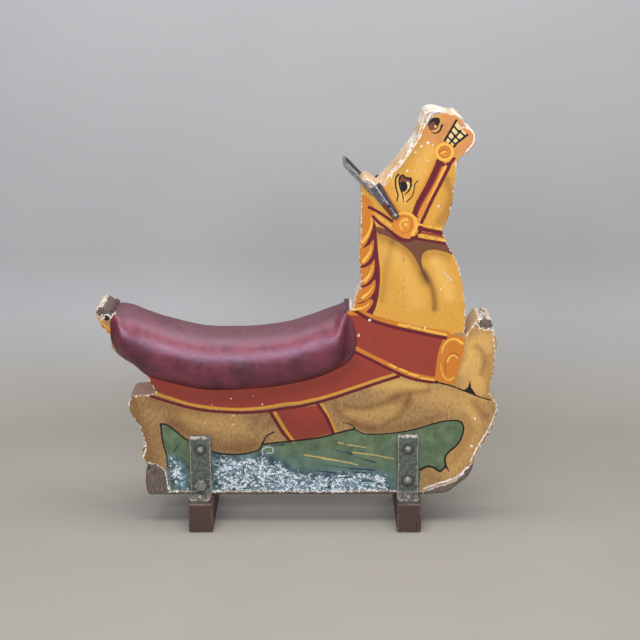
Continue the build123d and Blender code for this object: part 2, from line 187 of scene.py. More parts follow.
# Matt paper has no shine, only faint clouds. It is a little warmer on the floor than on the wall.
backdrop, tree = new_material("pale_paper_sheet")
where = add(tree, "TexCoord", out="Object")
cloud = add(tree, "TexNoise", {"Vector": where, "Scale": per_metre(PAPER_CLOUD_MM), "Detail": 4.0})
level = add(tree, "SeparateXYZ", [where], out="Z")
rise = add(tree, "MapRange", [level, 0.0, WALL_TONE_ABOVE_M, 0, 1])
floor_tone = add(tree, "Mix", {0: cloud, 6: "#9c978d", 7: "#a7a298"}, **COLOURS)
wall_tone = add(tree, "Mix", {0: cloud, 6: "#a9a9a9", 7: "#b3b3b3"}, **COLOURS)
paper = add(tree, "Mix", {0: rise, 6: floor_tone, 7: wall_tone}, **COLOURS)
sheet = add(tree, "BsdfPrincipled", {"Base Color": paper, "Roughness": 0.9})
behind = add(tree, "NewGeometry", out="Backfacing")
clear = add(tree, "BsdfTransparent")
add(tree, "OutputMaterial", [add(tree, "MixShader", [behind, sheet, clear])])
make_piece("stage_sheet", stage_points, stage_faces, backdrop)
print("stage:", len(stage_faces), "faces")

# %% Light
ROOM_LIGHT = 0.2
HORSE_MIDDLE = Vector((0, 0, 0.5))
# Place and size in metres, power in watts, tint.
PANELS = {"overhead_panel": ((0.0, -0.4, 3.0), (3.0, 1.4), 66, "#ffffff"),
          "front_strip": ((-0.2, -3.4, 2.1), (4.4, 0.9), 128, "#f1f3ff"),
          "side_panel": ((2.6, -2.0, 1.6), (1.4, 1.8), 9, "#ffffff"),
          "back_panel": ((0.4, 3.2, 2.0), (3.6, 1.4), 60, "#ffffff")}

world = bpy.data.worlds.new("soft_room")
world.use_nodes = True
world.node_tree.nodes["Background"].inputs["Color"].default_value = linear("#dfe2e6")
world.node_tree.nodes["Background"].inputs["Strength"].default_value = ROOM_LIGHT
bpy.context.scene.world = world
for name, (place, size, watts, tint) in PANELS.items():
    panel = bpy.data.lights.new(name, "AREA")
    panel.shape = "RECTANGLE"
    panel.size, panel.size_y = size
    panel.energy = watts
    panel.color = linear(tint)[:3]
    lamp = bpy.data.objects.new(name, panel)
    lamp.location = place
    lamp.rotation_euler = (HORSE_MIDDLE - Vector(place)).to_track_quat("-Z", "Y").to_euler()
    bpy.context.scene.collection.objects.link(lamp)
print("light:", len(PANELS), "panels and the room")

# %% [markdown]
# ## The boards' outlines
# The CAD boards are flat slabs, so everything the painter needs is the outline of their near faces. It is
# read from the frame instead of being typed again: the directed edges of the near face's triangles that no
# other triangle shares are the outline, and walking them end to end gives it in order.

# %% Outlines read from the frame
# A board's grid: mm between columns, mm between rows below a level and above it, and the level in mm.
PLAIN_GRID = (2.2, 2.2, 2.2, 0)
BOARD_GRID = {"tail_board": PLAIN_GRID, "hock_board": PLAIN_GRID, "haunch_board": PLAIN_GRID,
              "flank_board": PLAIN_GRID, "girth_board": PLAIN_GRID, "crest_board": (1.5, 2.5, 1.5, 500),
              "throat_board": (1.3, 2.4, 1.3, 820), "knee_board": PLAIN_GRID}
# Every board but the two rearmost has a glue joint along its rear side.
REARMOST = ("tail_board", "hock_board")
JOINTS = [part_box(name)[0][0] / MM for name in BOARD_GRID if name not in REARMOST]
# Places less than this apart, in mm, count as one.
FLUSH = 0.05


def cad_points(name):
    """A CAD node's points in mm."""
    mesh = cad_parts[name].data
    points = np.empty(3 * len(mesh.vertices))
    mesh.vertices.foreach_get("co", points)
    return points.reshape(-1, 3) / MM


def near_outline(name):
    """Outline of a board's near face as ordered (X, Z) places in mm; bolt holes are left out."""
    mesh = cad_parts[name].data
    corners = np.empty(3 * len(mesh.polygons), np.int32)
    mesh.polygons.foreach_get("vertices", corners)
    places, same = np.unique(np.round(cad_points(name), 2), axis=0, return_inverse=True)
    triangles = same.ravel()[corners].reshape(-1, 3)
    triangles = triangles[(places[triangles, 1] < NEAR_FACE + FLUSH).all(1)]
    first = triangles.ravel()
    second = np.roll(triangles, -1, axis=1).ravel()
    alone = ~np.isin(first * len(places) + second, second * len(places) + first)
    following = dict(zip(first[alone].tolist(), second[alone].tolist()))
    loops = []
    while following:
        start, spot = following.popitem()
        walk = [start]
        while spot != start:
            walk.append(spot)
            spot = following.pop(spot)
        loops.append(places[walk][:, [0, 2]])
    return max(loops, key=lambda loop: np.ptp(loop, axis=0).sum())


outlines = {name: near_outline(name) for name in BOARD_GRID}
print("outlines:", {name: len(loop) for name, loop in outlines.items()}, "joints at", np.round(JOINTS, 1))


# %% Distances to straight pieces
# Points times pieces that are worked out at once, to spare memory.
BLOCK = 3_000_000


def nearest_on(points, starts, ends):
    """Nearest place on a set of straight pieces. A point p drops onto the piece from a to b at the share
    t = (p - a).(b - a) / |b - a|^2, held between 0 and 1; the shortest drop counts.
    Gives the distance, the place and how far along the whole row of pieces it is, from 0 to 1."""
    runs = ends - starts
    squares = np.maximum((runs ** 2).sum(1), 1e-9)
    gaps, places, shares = [], [], []
    for block in np.array_split(points, 1 + len(points) * len(starts) // BLOCK):
        share = np.clip(((block[:, None] - starts) * runs).sum(2) / squares, 0, 1)
        place = starts + share[..., None] * runs
        gap = np.sqrt(((block[:, None] - place) ** 2).sum(2))
        best = gap.argmin(1)
        rows = np.arange(len(block))
        gaps.append(gap[rows, best])
        places.append(place[rows, best])
        shares.append((best + share[rows, best]) / len(starts))
    return np.concatenate(gaps), np.concatenate(places), np.concatenate(shares)


def inside(points, starts, ends):
    """Even-odd rule: a point is inside when a ray towards +X crosses the outline an odd number of times."""
    rise = ends[:, 1] - starts[:, 1]
    slope = (ends[:, 0] - starts[:, 0]) / np.where(rise == 0, 1, rise)
    found = []
    for block in np.array_split(points, 1 + len(points) * len(starts) // BLOCK):
        x, z = block[:, :1], block[:, 1:]
        spans = (starts[:, 1] <= z) != (ends[:, 1] <= z)
        crossing = starts[:, 0] + (z - starts[:, 1]) * slope
        found.append((spans & (x < crossing)).sum(1) % 2 == 1)
    return np.concatenate(found)


def outer_pieces(loop):
    """The straight pieces of an outline that aren't glue joints."""
    ends = np.roll(loop, -1, axis=0)
    upright = np.abs(ends[:, 0] - loop[:, 0]) < FLUSH
    jointed = upright & (np.abs(loop[:, :1] - JOINTS).min(1) < FLUSH)
    return np.stack([loop, ends], 1)[~jointed]


figure_edge = np.concatenate([outer_pieces(loop) for loop in outlines.values()])
print("figure's edge:", len(figure_edge), "straight pieces")

# %% [markdown]
# ## The painter's design
# Fairground painters work in flat coats with firm edges: a ground colour, then straps, then lines, then
# highlights. Each coat here is a list of brush lines and filled patches, drawn through a few picture spots.
# A vertex doesn't store a colour. It stores its distance to the coat's edge, in millimetres, and the
# material decides there what is painted. That keeps an edge sharp at any zoom, which stored colours would
# not.

# %% Drawing tools
DESIGN = []
SOFT = []
EVEN = (1, 1)


def smooth_through(points, closed=False, steps=6):
    """Catmull-Rom curve. Between b and c, with neighbours a and d, the place at t from 0 to 1 is
    (2b + (c - a) t + (2a - 5b + 4c - d) t^2 + (3b - a - 3c + d) t^3) / 2."""
    points = np.asarray(points, float)
    if closed:
        row = np.vstack([points[-1], points, points[:2]])
    else:
        row = np.vstack([2 * points[0] - points[1], points, 2 * points[-1] - points[-2]])
    a, b, c, d = (row[i:len(row) - 3 + i, None] for i in range(4))
    t = (np.arange(steps) / steps)[:, None]
    square, cube = 2 * a - 5 * b + 4 * c - d, 3 * b - a - 3 * c + d
    curve = (2 * b + (c - a) * t + square * t ** 2 + cube * t ** 3) / 2
    curve = curve.reshape(-1, points.shape[1])
    return curve if closed else np.vstack([curve, points[-1]])


def line(layer, width, spots, tips=EVEN):
    """A brush line through picture spots, some pixels wide; tips are its share of that width at each end."""
    curve = smooth_through(on_face(spots))
    DESIGN.append((layer, width * PIXEL / 2, tips, curve[:-1], curve[1:], False))


def lines(layer, width, rows, tips=EVEN):
    """Several brush lines of one width."""
    for spots in rows:
        line(layer, width, spots, tips)


def ring(layer, width, middle, radius):
    """A brush line round a circle: middle + radius (cos t, sin t)."""
    turn = np.linspace(0, 2 * math.pi, 13)
    line(layer, width, np.array(middle) + radius * np.stack([np.cos(turn), np.sin(turn)], 1))


def dots(layer, radius, spots):
    """Round spots of paint: brush lines of no length."""
    for spot in on_face(spots):
        DESIGN.append((layer, radius * PIXEL, EVEN, spot[None], spot[None], False))


def patch(layer, spots):
    """A filled shape with a rounded outline through picture spots."""
    curve = smooth_through(on_face(spots), closed=True)
    DESIGN.append((layer, 0, EVEN, curve, np.roll(curve, -1, axis=0), True))


def flat_patch(layer, spots):
    """A filled shape with straight sides between picture spots."""
    corners = on_face(spots)
    DESIGN.append((layer, 0, EVEN, corners, np.roll(corners, -1, axis=0), True))


def soft(field, amount, width, spots):
    """A blended shadow or light along a line: amount times exp(-(distance / width)^2)."""
    SOFT.append((field, amount, width * PIXEL, smooth_through(on_face(spots))))


def draw(title, strokes):
    """Draw named strokes, each with the tool that it starts with."""
    for tool, *settings in strokes.values():
        tool(*settings)
    print(title + ":", len(strokes), "strokes")


# %% [markdown]
# ### Straps and saddle cloth
# The harness is brick red, edged in gold and lined in maroon. Red goes down first, then the gold bands, and
# the maroon lines cover the joins. Each stroke has a name, the tool that draws it, its layer, its width in
# picture pixels and the picture spots that it goes through.

# %% Saddle cloth, girth and breast strap
CLOTH_AND_STRAPS = {
    "cloth": (flat_patch, "red", [(138, 379), (150, 391), (156, 393), (171, 397.5), (189, 403), (208, 406),
        (228, 408), (247, 408), (266, 406.3), (285, 403), (300, 401.5), (327, 395), (354, 386.5),
        (380, 377.7), (393, 373.5), (386, 367), (370.6, 359), (357, 352), (345, 335), (300, 350),
        (200, 355), (140, 350)]),
    "cloth gold": (line, "gold", 2.8, [(146, 389.5), (156, 393.4), (171, 398.3), (189, 404), (208, 407.2),
        (228, 409), (247, 409), (266, 407.2), (285, 404), (300, 402.5), (327, 396.2), (354, 387.5),
        (380, 378.7), (394, 374.7)]),
    "cloth maroon": (line, "maroon", 3.2, [(146, 394), (152, 396.6), (171, 402.5), (189, 407.4),
        (208, 410.8), (228, 412.2), (247, 412.6), (266, 411.2), (285, 408.2), (300, 406.3), (327, 399.9),
        (354, 391), (380, 382.2), (399, 376.2)]),
    "girth": (flat_patch, "red", [(276, 411), (281, 420), (287, 430), (294, 441.5), (334, 433), (327, 418),
        (320, 405)]),
    "girth rear gold": (line, "gold", 3.4, [(275, 413), (280, 421), (286, 431), (293.5, 441)]),
    "girth rear maroon": (line, "maroon", 3.4, [(269.5, 411), (275, 420), (281.5, 430.5), (290, 441.5)]),
    "girth front maroon": (line, "maroon", 3.2, [(318, 404.5), (326.6, 417.6), (333.3, 433)]),
    "girth front gold": (line, "gold", 3.2, [(322, 404.5), (329.6, 418), (336.4, 432.6)]),
    "breast strap": (flat_patch, "red", [(340, 322), (354.8, 309.5), (370.6, 319), (386, 325), (401, 329),
        (416.5, 332), (432, 335.6), (446, 338), (440, 346), (437.5, 356), (436, 367), (435, 379),
        (427, 377.5), (411, 373.5), (397, 369), (386, 363), (370.6, 356), (357, 349), (345, 345)]),
    "upper band": (line, "orange", 5.4, [(358, 310.8), (370, 316.5), (385, 321), (400, 324.8), (420, 329),
        (448, 334)]),
    "upper band dashes": (lines, "yellow", 2.6, [[(399, 324.4), (408, 326.4)], [(411.5, 327), (421, 329.2)],
        [(424, 330), (446, 334.6)]]),
    "upper line": (line, "maroon", 3.6, [(350, 307.5), (354.8, 310.6), (370.6, 319.8), (386, 325),
        (401, 329), (416.5, 332.2), (432, 335.6), (445.5, 338)]),
    "lower band": (line, "orange", 4.8, [(355, 348), (370.6, 356.3), (386, 363.5), (397, 369.2),
        (411, 374.2), (427, 378), (436, 379.6)]),
    "lower band dashes": (lines, "yellow", 2.2, [[(390, 364.6), (396, 367.4)], [(400, 369.2), (407, 371.8)],
        [(409, 373.6), (418, 376.2)], [(421, 378), (434, 380)]]),
    "lower line": (line, "maroon", 3.2, [(354, 351.5), (370.6, 359.6), (386, 367.4), (400, 374),
        (411, 378.4), (427, 381.6), (437, 382.2)]),
}
draw("saddle cloth, girth and breast strap", CLOTH_AND_STRAPS)

# %% Rosette on the breast
BREAST_ROSETTE = {
    "body": (patch, "orange", [(446, 335.5), (455, 335), (464, 338), (464.5, 345), (463.5, 352), (461, 362),
        (459, 370), (456, 378), (453, 384.5), (444, 382.5), (435.5, 380.5), (436.3, 367), (437.8, 356),
        (440.5, 346)]),
    "upper scroll": (line, "yellow", 3, [(441.8, 353), (443.5, 346.5), (448, 341), (455, 339),
        (462.5, 343.5)], (0.4, 0.9)),
    "lower scroll": (line, "yellow", 2.4, [(440.6, 363), (441.6, 371), (444.5, 377.5), (449, 380),
        (454, 377.5)], (0.3, 0.7)),
    "middle scroll": (line, "yellow", 2.6, [(447.4, 361.5), (449.6, 357), (454, 355.2),
        (457.6, 358.5)], (0.8, 0.5)),
    "inner line": (line, "rust", 1.4, [(446, 372), (445.5, 363), (448.5, 355.5), (454.5, 353), (459, 356)]),
}
draw("breast rosette", BREAST_ROSETTE)

# %% Throat lash, cheek strap and their rosettes
BIT_ROSETTE = (444.6, 152)
HEAD_HARNESS = {
    "lash upper gold": (line, "gold", 4, [(414, 222.5), (422, 224.6), (434, 227), (447, 229.6)]),
    "lash upper maroon": (line, "maroon", 4, [(416, 227.6), (424, 229.4), (436, 231.8), (447, 233.8)]),
    "lash red": (line, "red", 3, [(420, 232.4), (434, 235), (448, 237.4)]),
    "lash lower gold": (line, "gold", 4, [(414, 233.6), (424, 236), (436, 238.4), (449, 241)]),
    "lash lower maroon": (line, "maroon", 2.8, [(412, 237.6), (424, 240), (436, 242), (450, 244.4)]),
    "crown strap maroon": (line, "maroon", 3, [(369, 207.4), (376, 210.6), (384, 215.6), (392, 221.4)]),
    "brow strap": (line, "orange", 4.4, [(381.4, 184), (388, 196), (395, 207), (400, 215)], (0.5, 0.9)),
    "crown strap gold": (line, "gold", 4.4, [(374.6, 214), (381, 218.6), (388, 224), (394, 228)]),
    "crown strap shadow": (line, "maroon", 3, [(373, 216.5), (379, 222.6), (386, 227.8), (393, 233.4),
        (401, 238.6), (409, 240), (415, 237.6)]),
    "cheek strap rear maroon": (line, "maroon", 6.2, [(440, 160.5), (436.4, 168.6), (429.6, 183),
        (423.6, 194), (418, 204.3), (413.6, 216)], (1, 0.8)),
    "cheek strap rear amber": (line, "amber", 2.4, [(435.4, 161.5), (431.6, 169), (424.8, 183),
        (418.8, 195), (413.4, 205)], (0.8, 0.6)),
    "cheek strap red": (line, "red", 3.6, [(443.4, 163), (437.4, 176), (431.2, 189), (424, 202),
        (416.8, 217)]),
    "cheek strap front amber": (line, "amber", 4.6, [(446.4, 163.4), (443.9, 168.6), (438, 182),
        (431.6, 194), (425, 205.6), (420.6, 215)], (1, 1.2)),
    "cheek strap highlight": (line, "yellow", 2, [(445.6, 166), (440.4, 177), (434, 190),
        (427, 203)], (1, 0.4)),
    "cheek strap front maroon": (line, "maroon", 3.3, [(450.5, 163.5), (448.2, 168.6), (440.9, 183),
        (435.2, 194), (430, 204.3), (425.4, 214.3), (421.6, 222)]),
    "cheek rosette": (dots, "amber", 13.2, [(405.4, 224.6)]),
    "cheek rosette ring": (line, "rust", 1.1, [(396.6, 220), (400.6, 216.4), (407, 216.4), (411.4, 221),
        (411.4, 227.6), (407.4, 232.6), (401, 233)], (0.9, 0.8)),
    "cheek rosette crescent": (line, "yellow", 5, [(399, 213.6), (405, 212.8), (411, 214.6), (415.4, 219.6),
        (416, 227.6), (412.4, 234)], (0.4, 0.7)),
    "cheek rosette scroll": (line, "yellow", 2.6, [(407, 219.6), (401.8, 221), (399.8, 225.4),
        (402.4, 229.4)], (0.9, 0.5)),
    "cheek rosette centre": (dots, "yellow", 1.8, [(406, 224.6)]),
    "cheek rosette shadow": (line, "maroon", 2.8, [(391.4, 231.6), (397, 238), (405, 240.8), (412.4, 239.4),
        (418, 234.6), (420.6, 228), (421.4, 221.6)]),
    "bit rosette": (dots, "amber", 9.8, [BIT_ROSETTE]),
    "bit rosette rim": (ring, "yellow", 3, BIT_ROSETTE, 7.9),
    "bit rosette ring": (ring, "rust", 1.1, BIT_ROSETTE, 5.6),
    "bit rosette curl": (line, "rust", 1.6, [(440.4, 151.8), (443.6, 149.4), (446.8, 150.6), (446, 153.6)]),
    "bit rosette light": (line, "yellow", 1.8, [(441.6, 153.4), (444, 151.4), (446, 152)]),
    "bit rosette shadow": (line, "maroon", 3.2, [(437.6, 161), (440.4, 163.8), (444.6, 165), (450, 163.4),
        (454, 158.6)]),
    "strap dashes": (lines, "yellow", 2, [[(416, 223.4), (422, 225)], [(425, 225.6), (432, 227)],
        [(435, 227.6), (441, 229)], [(418, 234.8), (424, 236.4)], [(428, 237.2), (434, 238.4)],
        [(438, 239.2), (445, 240.6)], [(377, 215.8), (383, 220.4)],
        [(386, 222.6), (391, 226)]], (0.7, 0.9)),
}
draw("head harness", HEAD_HARNESS)

# %% [markdown]
# ### Face, mane and neck
# The eye, nostril and teeth are black brush lines over small flat colours. The mane is a row of flames in
# orange and yellow on maroon. The muscles are shaded wet in wet, so they have no edge: each is a line with
# an amount and a width over which it fades.

# %% Eye, nostril and teeth
FACE = {
    "iris": (patch, "brown", [(400.6, 177.4), (404, 176), (409.6, 179), (409.4, 184), (401, 184)]),
    "eye white": (patch, "cream", [(406.4, 182), (409.6, 182.6), (410, 187), (407.4, 189)]),
    "pupil": (patch, "black", [(400.6, 182.6), (404, 181.6), (407, 184), (407.2, 188.6), (403.6, 192),
        (401.2, 189)]),
    "eye crease": (line, "black", 2.7, [(398.6, 174.4), (396, 177.6), (395.6, 184), (396.6, 190),
        (398, 195), (396.8, 201)], (0.7, 0.5)),
    "rear lid": (line, "black", 2.3, [(400.4, 176.4), (399.2, 181), (400.2, 188), (402.6, 194.6),
        (403.6, 202)], (0.9, 0.4)),
    "upper lid": (line, "black", 2.3, [(399.6, 177), (402.6, 175), (405, 177.2),
        (410.8, 178.8)], (0.6, 0.9)),
    "front lid": (line, "black", 2.4, [(410.8, 178.6), (410.8, 185), (409, 190.4),
        (404.6, 194.6)], (1, 0.4)),
    "lower crease": (line, "black", 2.4, [(418, 180.6), (415, 184), (414, 190), (412, 196.6),
        (406.4, 202)], (0.4, 0.5)),
    "nostril": (patch, "brown", [(428.6, 128), (428.4, 122.6), (432, 118.6), (438, 118.6), (439.4, 123),
        (436.6, 128.6), (431, 130.4)]),
    "nostril shadow": (patch, "black", [(428, 127), (428.4, 121.8), (433, 118), (439, 118), (440, 122.4),
        (436.4, 125.6), (434.4, 122), (430.6, 123)]),
    "nostril light": (dots, "cream", 1.2, [(435.4, 126.4)]),
    "nostril rim": (line, "black", 2.4, [(431.6, 132.4), (436, 133.2), (439.8, 130.6),
        (442.2, 125)], (0.4, 0.9)),
    "teeth": (flat_patch, "cream", [(456, 120.6), (461, 127), (467, 135), (460.6, 141), (454.6, 146.4),
        (445, 140.4), (450, 130)]),
    "upper lip": (line, "black", 2.3, [(456.4, 120.4), (452, 128), (448.4, 134), (444.8, 140.6)]),
    "lower lip": (line, "black", 2.3, [(467.4, 134.6), (462, 139), (458, 142), (454.2, 146.4)]),
    "bite": (line, "black", 1.9, [(461, 130.6), (455, 137), (449.6, 143.4)]),
    "tooth gaps": (lines, "black", 1.7, [[(453.6, 126), (459, 132)], [(450.6, 131), (456.4, 137)],
        [(447.6, 136.6), (455, 144)], [(458.6, 130.4), (465, 136)], [(454, 136), (460.4, 141)]]),
    "lip blush": (soft, "blush", 0.9, 9, [(448, 118), (452, 126)]),
    "chin blush": (soft, "blush", 0.9, 9, [(466, 128), (472, 138), (467, 150)]),
    "mouth blush": (soft, "blush", 0.8, 9, [(430, 136), (440, 140), (452, 148)]),
    "mouth shade": (soft, "shade", 0.4, 4, [(446, 126), (440, 140)]),
}
draw("face", FACE)

# %% Mane
MANE = {
    "ground": (flat_patch, "mane", [(362, 210), (372, 214), (376, 226), (377.2, 240), (378.4, 255),
        (380, 270), (380, 282), (378.8, 295), (376, 307), (371.5, 317), (357, 313), (353, 305), (357, 270),
        (358, 230)]),
    "top flame": (patch, "orange", [(355, 194), (366, 196), (372.6, 204), (375, 212), (373.6, 222),
        (371.6, 231), (368, 240), (362, 248), (354, 250), (354, 220)]),
    "second flame": (patch, "orange", [(354, 266), (358, 251), (364.6, 247.6), (370, 244), (373.6, 239.6),
        (373.4, 249), (370.6, 257.6), (364.6, 264)]),
    "third flame": (patch, "orange", [(352, 287), (358, 270), (364.6, 267.6), (370.6, 264.4),
        (374.4, 259.6), (374.4, 269.6), (371.4, 278), (364.6, 284.6)]),
    "fourth flame": (patch, "orange", [(350, 304), (357, 289), (364, 287.6), (370.4, 284.4), (375, 279.6),
        (375.2, 288), (371, 296.6), (362.6, 301.6)]),
    "lowest flame": (patch, "orange", [(346, 314), (354, 305), (362, 303.4), (370.4, 299), (373, 302.4),
        (369, 309), (361, 315)]),
    "top light": (line, "yellow", 3.4, [(371, 217), (371.4, 225), (367.6, 235), (362.6, 242)], (0.3, 0.9)),
    "second light": (line, "yellow", 3.4, [(371.6, 245.6), (369.4, 253), (363.4, 261.4)], (0.2, 1)),
    "third light": (line, "yellow", 3.4, [(372.8, 265), (370, 273.6), (365, 280.6)], (0.2, 1)),
    "fourth light": (line, "yellow", 3.2, [(373, 285.6), (369.4, 292), (362.6, 297.6)], (0.2, 1)),
    "lowest light": (line, "yellow", 3.2, [(369.4, 303.4), (363.6, 307.6), (354, 309.6)], (0.3, 1)),
}
draw("mane", MANE)

# %% Neck, head and body shading
SHADING = {
    "neck and head": (flat_patch, "neck", [(340, 300), (356, 309), (370, 317), (385, 321), (400, 325),
        (420, 329), (447, 335), (470, 330), (480, 250), (490, 90), (410, 90), (350, 170), (345, 260)]),
    "throat hollow": (patch, "umber", [(376.6, 227), (386, 229.6), (394, 235), (405, 241), (416, 239.6),
        (432, 242), (452, 245.4), (453, 254.4), (446, 252.2), (436, 249.8), (429, 250.2), (424.4, 252.4),
        (421.6, 257), (421.8, 264), (424.6, 272.6), (428.6, 280), (426, 281), (421.6, 272), (417, 261.6),
        (411.6, 253), (405, 247), (395, 240.4), (385, 235.4), (377.6, 233.4)]),
    "neck fold": (soft, "shade", 0.75, 3.2, [(424, 272), (429, 281), (432.6, 290), (434.4, 300),
        (434.6, 309)]),
    "under the cheek": (soft, "shade", 0.5, 5, [(380, 236), (396, 243), (410, 253), (418, 266),
        (425, 281)]),
    "throat": (soft, "shade", 0.35, 5, [(424, 256), (432, 252), (448, 256)]),
    "jaw edge": (soft, "shade", 0.5, 5, [(447, 180), (451, 196), (447, 210), (440, 222)]),
    "neck front": (soft, "light", 0.9, 7, [(436, 262), (442, 276), (449, 296)]),
    "neck side": (soft, "light", 0.55, 10, [(392, 252), (406, 272), (416, 300)]),
    "cheekbone": (soft, "light", 0.5, 7, [(425, 160), (418, 175), (430, 150)]),
    "beside the eye": (soft, "light", 0.8, 4, [(398, 182), (400, 192), (404, 200)]),
    "nose": (soft, "shade", 0.25, 6, [(400, 168), (414, 148), (426, 130)]),
    "beside the mane": (soft, "shade", 0.28, 4, [(393, 240), (386, 270), (382, 300)]),
    "chest": (soft, "fresh", 0.8, 16, [(478, 345), (472, 380)]),
    "upper foreleg": (soft, "fresh", 0.55, 13, [(395, 386), (440, 396), (470, 405)]),
    "elbow": (soft, "fresh", 0.4, 9, [(352, 414), (372, 413), (392, 411)]),
    "breast edge": (soft, "fresh", 0.6, 10, [(486, 340), (482, 372), (484, 388)]),
    "lower foreleg": (soft, "fresh", 0.6, 13, [(474, 415), (470, 440), (452, 466)]),
    "foreleg fold": (soft, "shade", 0.55, 3.4, [(345, 406), (364, 408), (384, 403), (402, 394),
        (428, 391)]),
    "foreleg crease": (soft, "shade", 0.5, 3, [(410, 396), (404, 410), (396, 418), (384, 424)]),
    "knee crease": (soft, "shade", 0.55, 4.5, [(474, 402), (479, 409), (485, 417)]),
    "chest fold": (soft, "shade", 0.45, 3, [(476, 346), (482, 352), (484, 362), (481, 374)]),
    "breast edge shade": (soft, "shade", 0.35, 4, [(488, 356), (487, 376), (489, 394)]),
    "chest light": (soft, "light", 0.6, 4.5, [(471, 344), (469, 358), (463, 372)]),
    "shoulder light": (soft, "light", 0.45, 5, [(376, 388), (396, 383), (420, 387)]),
    "elbow crease": (soft, "shade", 0.5, 4, [(334, 404), (340, 414), (352, 421), (372, 428)]),
    "flank fold": (soft, "shade", 0.4, 3, [(264, 426), (272, 421), (284, 414)]),
    "flank hollow": (soft, "shade", 0.35, 4, [(256, 418), (267, 414)]),
    "belly": (soft, "shade", 0.35, 7, [(206, 436), (226, 446), (250, 444)]),
    "back of the thigh": (soft, "shade", 0.6, 8, [(132, 400), (136, 420), (144, 434), (150, 458)]),
    "thigh": (soft, "shade", 0.35, 5, [(168, 420), (186, 428), (205, 442)]),
    "forearm": (soft, "shade", 0.35, 6, [(396, 398), (410, 402)]),
    "belly line": (soft, "shade", 0.4, 5, [(172, 424), (190, 436), (211, 447), (239, 450), (256, 446)]),
    "rump": (soft, "shade", 0.35, 8, [(150, 402), (175, 408), (200, 412)]),
    "inside of the foreleg": (soft, "shade", 0.35, 5, [(452, 462), (462, 448), (470, 430), (464, 416)]),
    "foreleg underside": (soft, "shade", 0.4, 4, [(352, 424), (366, 430), (390, 429), (414, 425),
        (440, 416)]),
    "belly light": (soft, "light", 0.25, 9, [(186, 414), (214, 424), (240, 426)]),
    # Painted shadow cast by the saddle's roll on the cloth below it. The girth's foot and the ear are
    # darkened the same way, the ear for its weathered grey.
    "under the saddle": (soft, "dusk", 0.5, 9, [(140, 384), (170, 391), (210, 396), (250, 395), (290, 389),
        (330, 378), (352, 364)]),
    "girth foot": (soft, "dusk", 0.5, 12, [(280, 420), (300, 432), (326, 426)]),
    "ear": (soft, "dusk", 0.5, 4, [(362, 176), (369, 179), (377, 185)]),
}
draw("shading", SHADING)

# %% [markdown]
# ### Ground and outlines
# Between the legs the board isn't cut away: it is painted as green grass and white water, with the legs'
# outlines in black, which is how a flat ride horse gets thin legs that don't break. The ground ends along
# the same lines that the black brush follows, so those lines are written once.

# %% Green ground, water and black outlines
BELLY = [(160.4, 424), (166, 424.5), (172, 428), (178, 433), (184, 438), (191, 441.5), (201, 447), (211, 451),
         (220, 453.6), (239, 454.4), (253, 452), (259.5, 449.3)]
FLANK_FOLD = [(263, 442.4), (267, 435.8), (274, 432)]
GIRTH_FOOT = [(262, 444.4), (290, 441.3), (320, 437.5), (337.5, 433), (354, 429)]
ELBOW = [(343, 422.3), (352, 425), (356, 429.6)]
FORELEG = [(364, 433.7), (375, 434.3), (394, 433), (414, 429.6), (434, 423.6), (447, 421), (459, 421),
           (463.5, 427), (462, 436), (457, 445), (449, 451.7), (445, 457.8), (445.5, 466), (442, 470),
           (439.5, 471.3), (434, 467.8), (427, 466.5), (420, 470)]
GROUND_FOOT = [(421, 470), (419, 492), (419, 505), (168, 505), (167, 485)]
HOCK = [(167.5, 467), (167, 458), (165, 450), (163, 442), (161.5, 432), (160.6, 424)]
GROUND = {
    "ground": (flat_patch, "green", BELLY + GIRTH_FOOT + FORELEG[:-1] + GROUND_FOOT + HOCK),
    "hind leg and belly": (line, "black", 2.3, BELLY + FLANK_FOLD, (0.8, 0.7)),
    "hock": (line, "black", 2.3, HOCK, (0.5, 0.9)),
    "under the girth": (line, "black", 1.9, GIRTH_FOOT),
    "foreleg": (line, "black", 2.4, ELBOW + FORELEG, (0.5, 1)),
    "hoof tick": (line, "black", 2.2, [(446, 466), (449, 472)], (1, 0.3)),
    "forearm": (line, "black", 2.4, [(436, 382), (450, 385.5), (462, 390), (470, 393), (480, 397),
        (490, 400)], (0.7, 0.6)),
    "knee notch": (patch, "black", [(464.6, 390.4), (468, 387), (470, 379.6), (471.4, 387.4),
        (476, 395.6)]),
    "stream": (flat_patch, "water", [(212, 452), (240, 456), (262, 453.4), (276, 458), (292, 466),
        (310, 471), (330, 471.6), (352, 470), (376, 470), (388, 474), (393, 486), (393, 505), (212, 505)]),
    "pool": (patch, "water", [(167.6, 458), (174, 455), (182, 460), (188, 470), (189, 494), (176, 490),
        (168, 480)]),
    "shallows": (soft, "sea", 0.45, 12, [(216, 466), (262, 462), (300, 466), (340, 468), (392, 478)]),
    "ripples": (lines, "navy", 3, [[(268, 446), (284, 444.6)], [(322, 464), (346, 468), (374, 470)],
        [(349, 455), (376, 462.6)], [(330, 449), (352, 454)], [(330, 478), (352, 477)],
        [(352, 482), (372, 481)], [(350, 472), (366, 473)], [(310, 470), (336, 473)],
        [(180, 442), (174, 452)]], (0.2, 0.6)),
    "reeds": (lines, "straw", 2.2, [[(338, 442.4), (344, 443.6)], [(348, 444.8), (367, 447.6)],
        [(353, 452.4), (374, 455), (394, 459)], [(305, 455), (330, 459), (358, 465)],
        [(322, 458.6), (352, 463)]], (0.7, 0.5)),
    "foam curl": (line, "foam_line", 1.2, [(263, 455), (262.4, 450), (267, 447), (273, 448.4), (272, 453),
        (267.4, 453)]),
}
draw("ground", GROUND)

# %% [markdown]
# ### Wear
# Years of hands and boots have chipped the paint to its white ground, and in places to grey wood. The
# larger places are drawn like the paint; the small chips along the arrises come from the material.

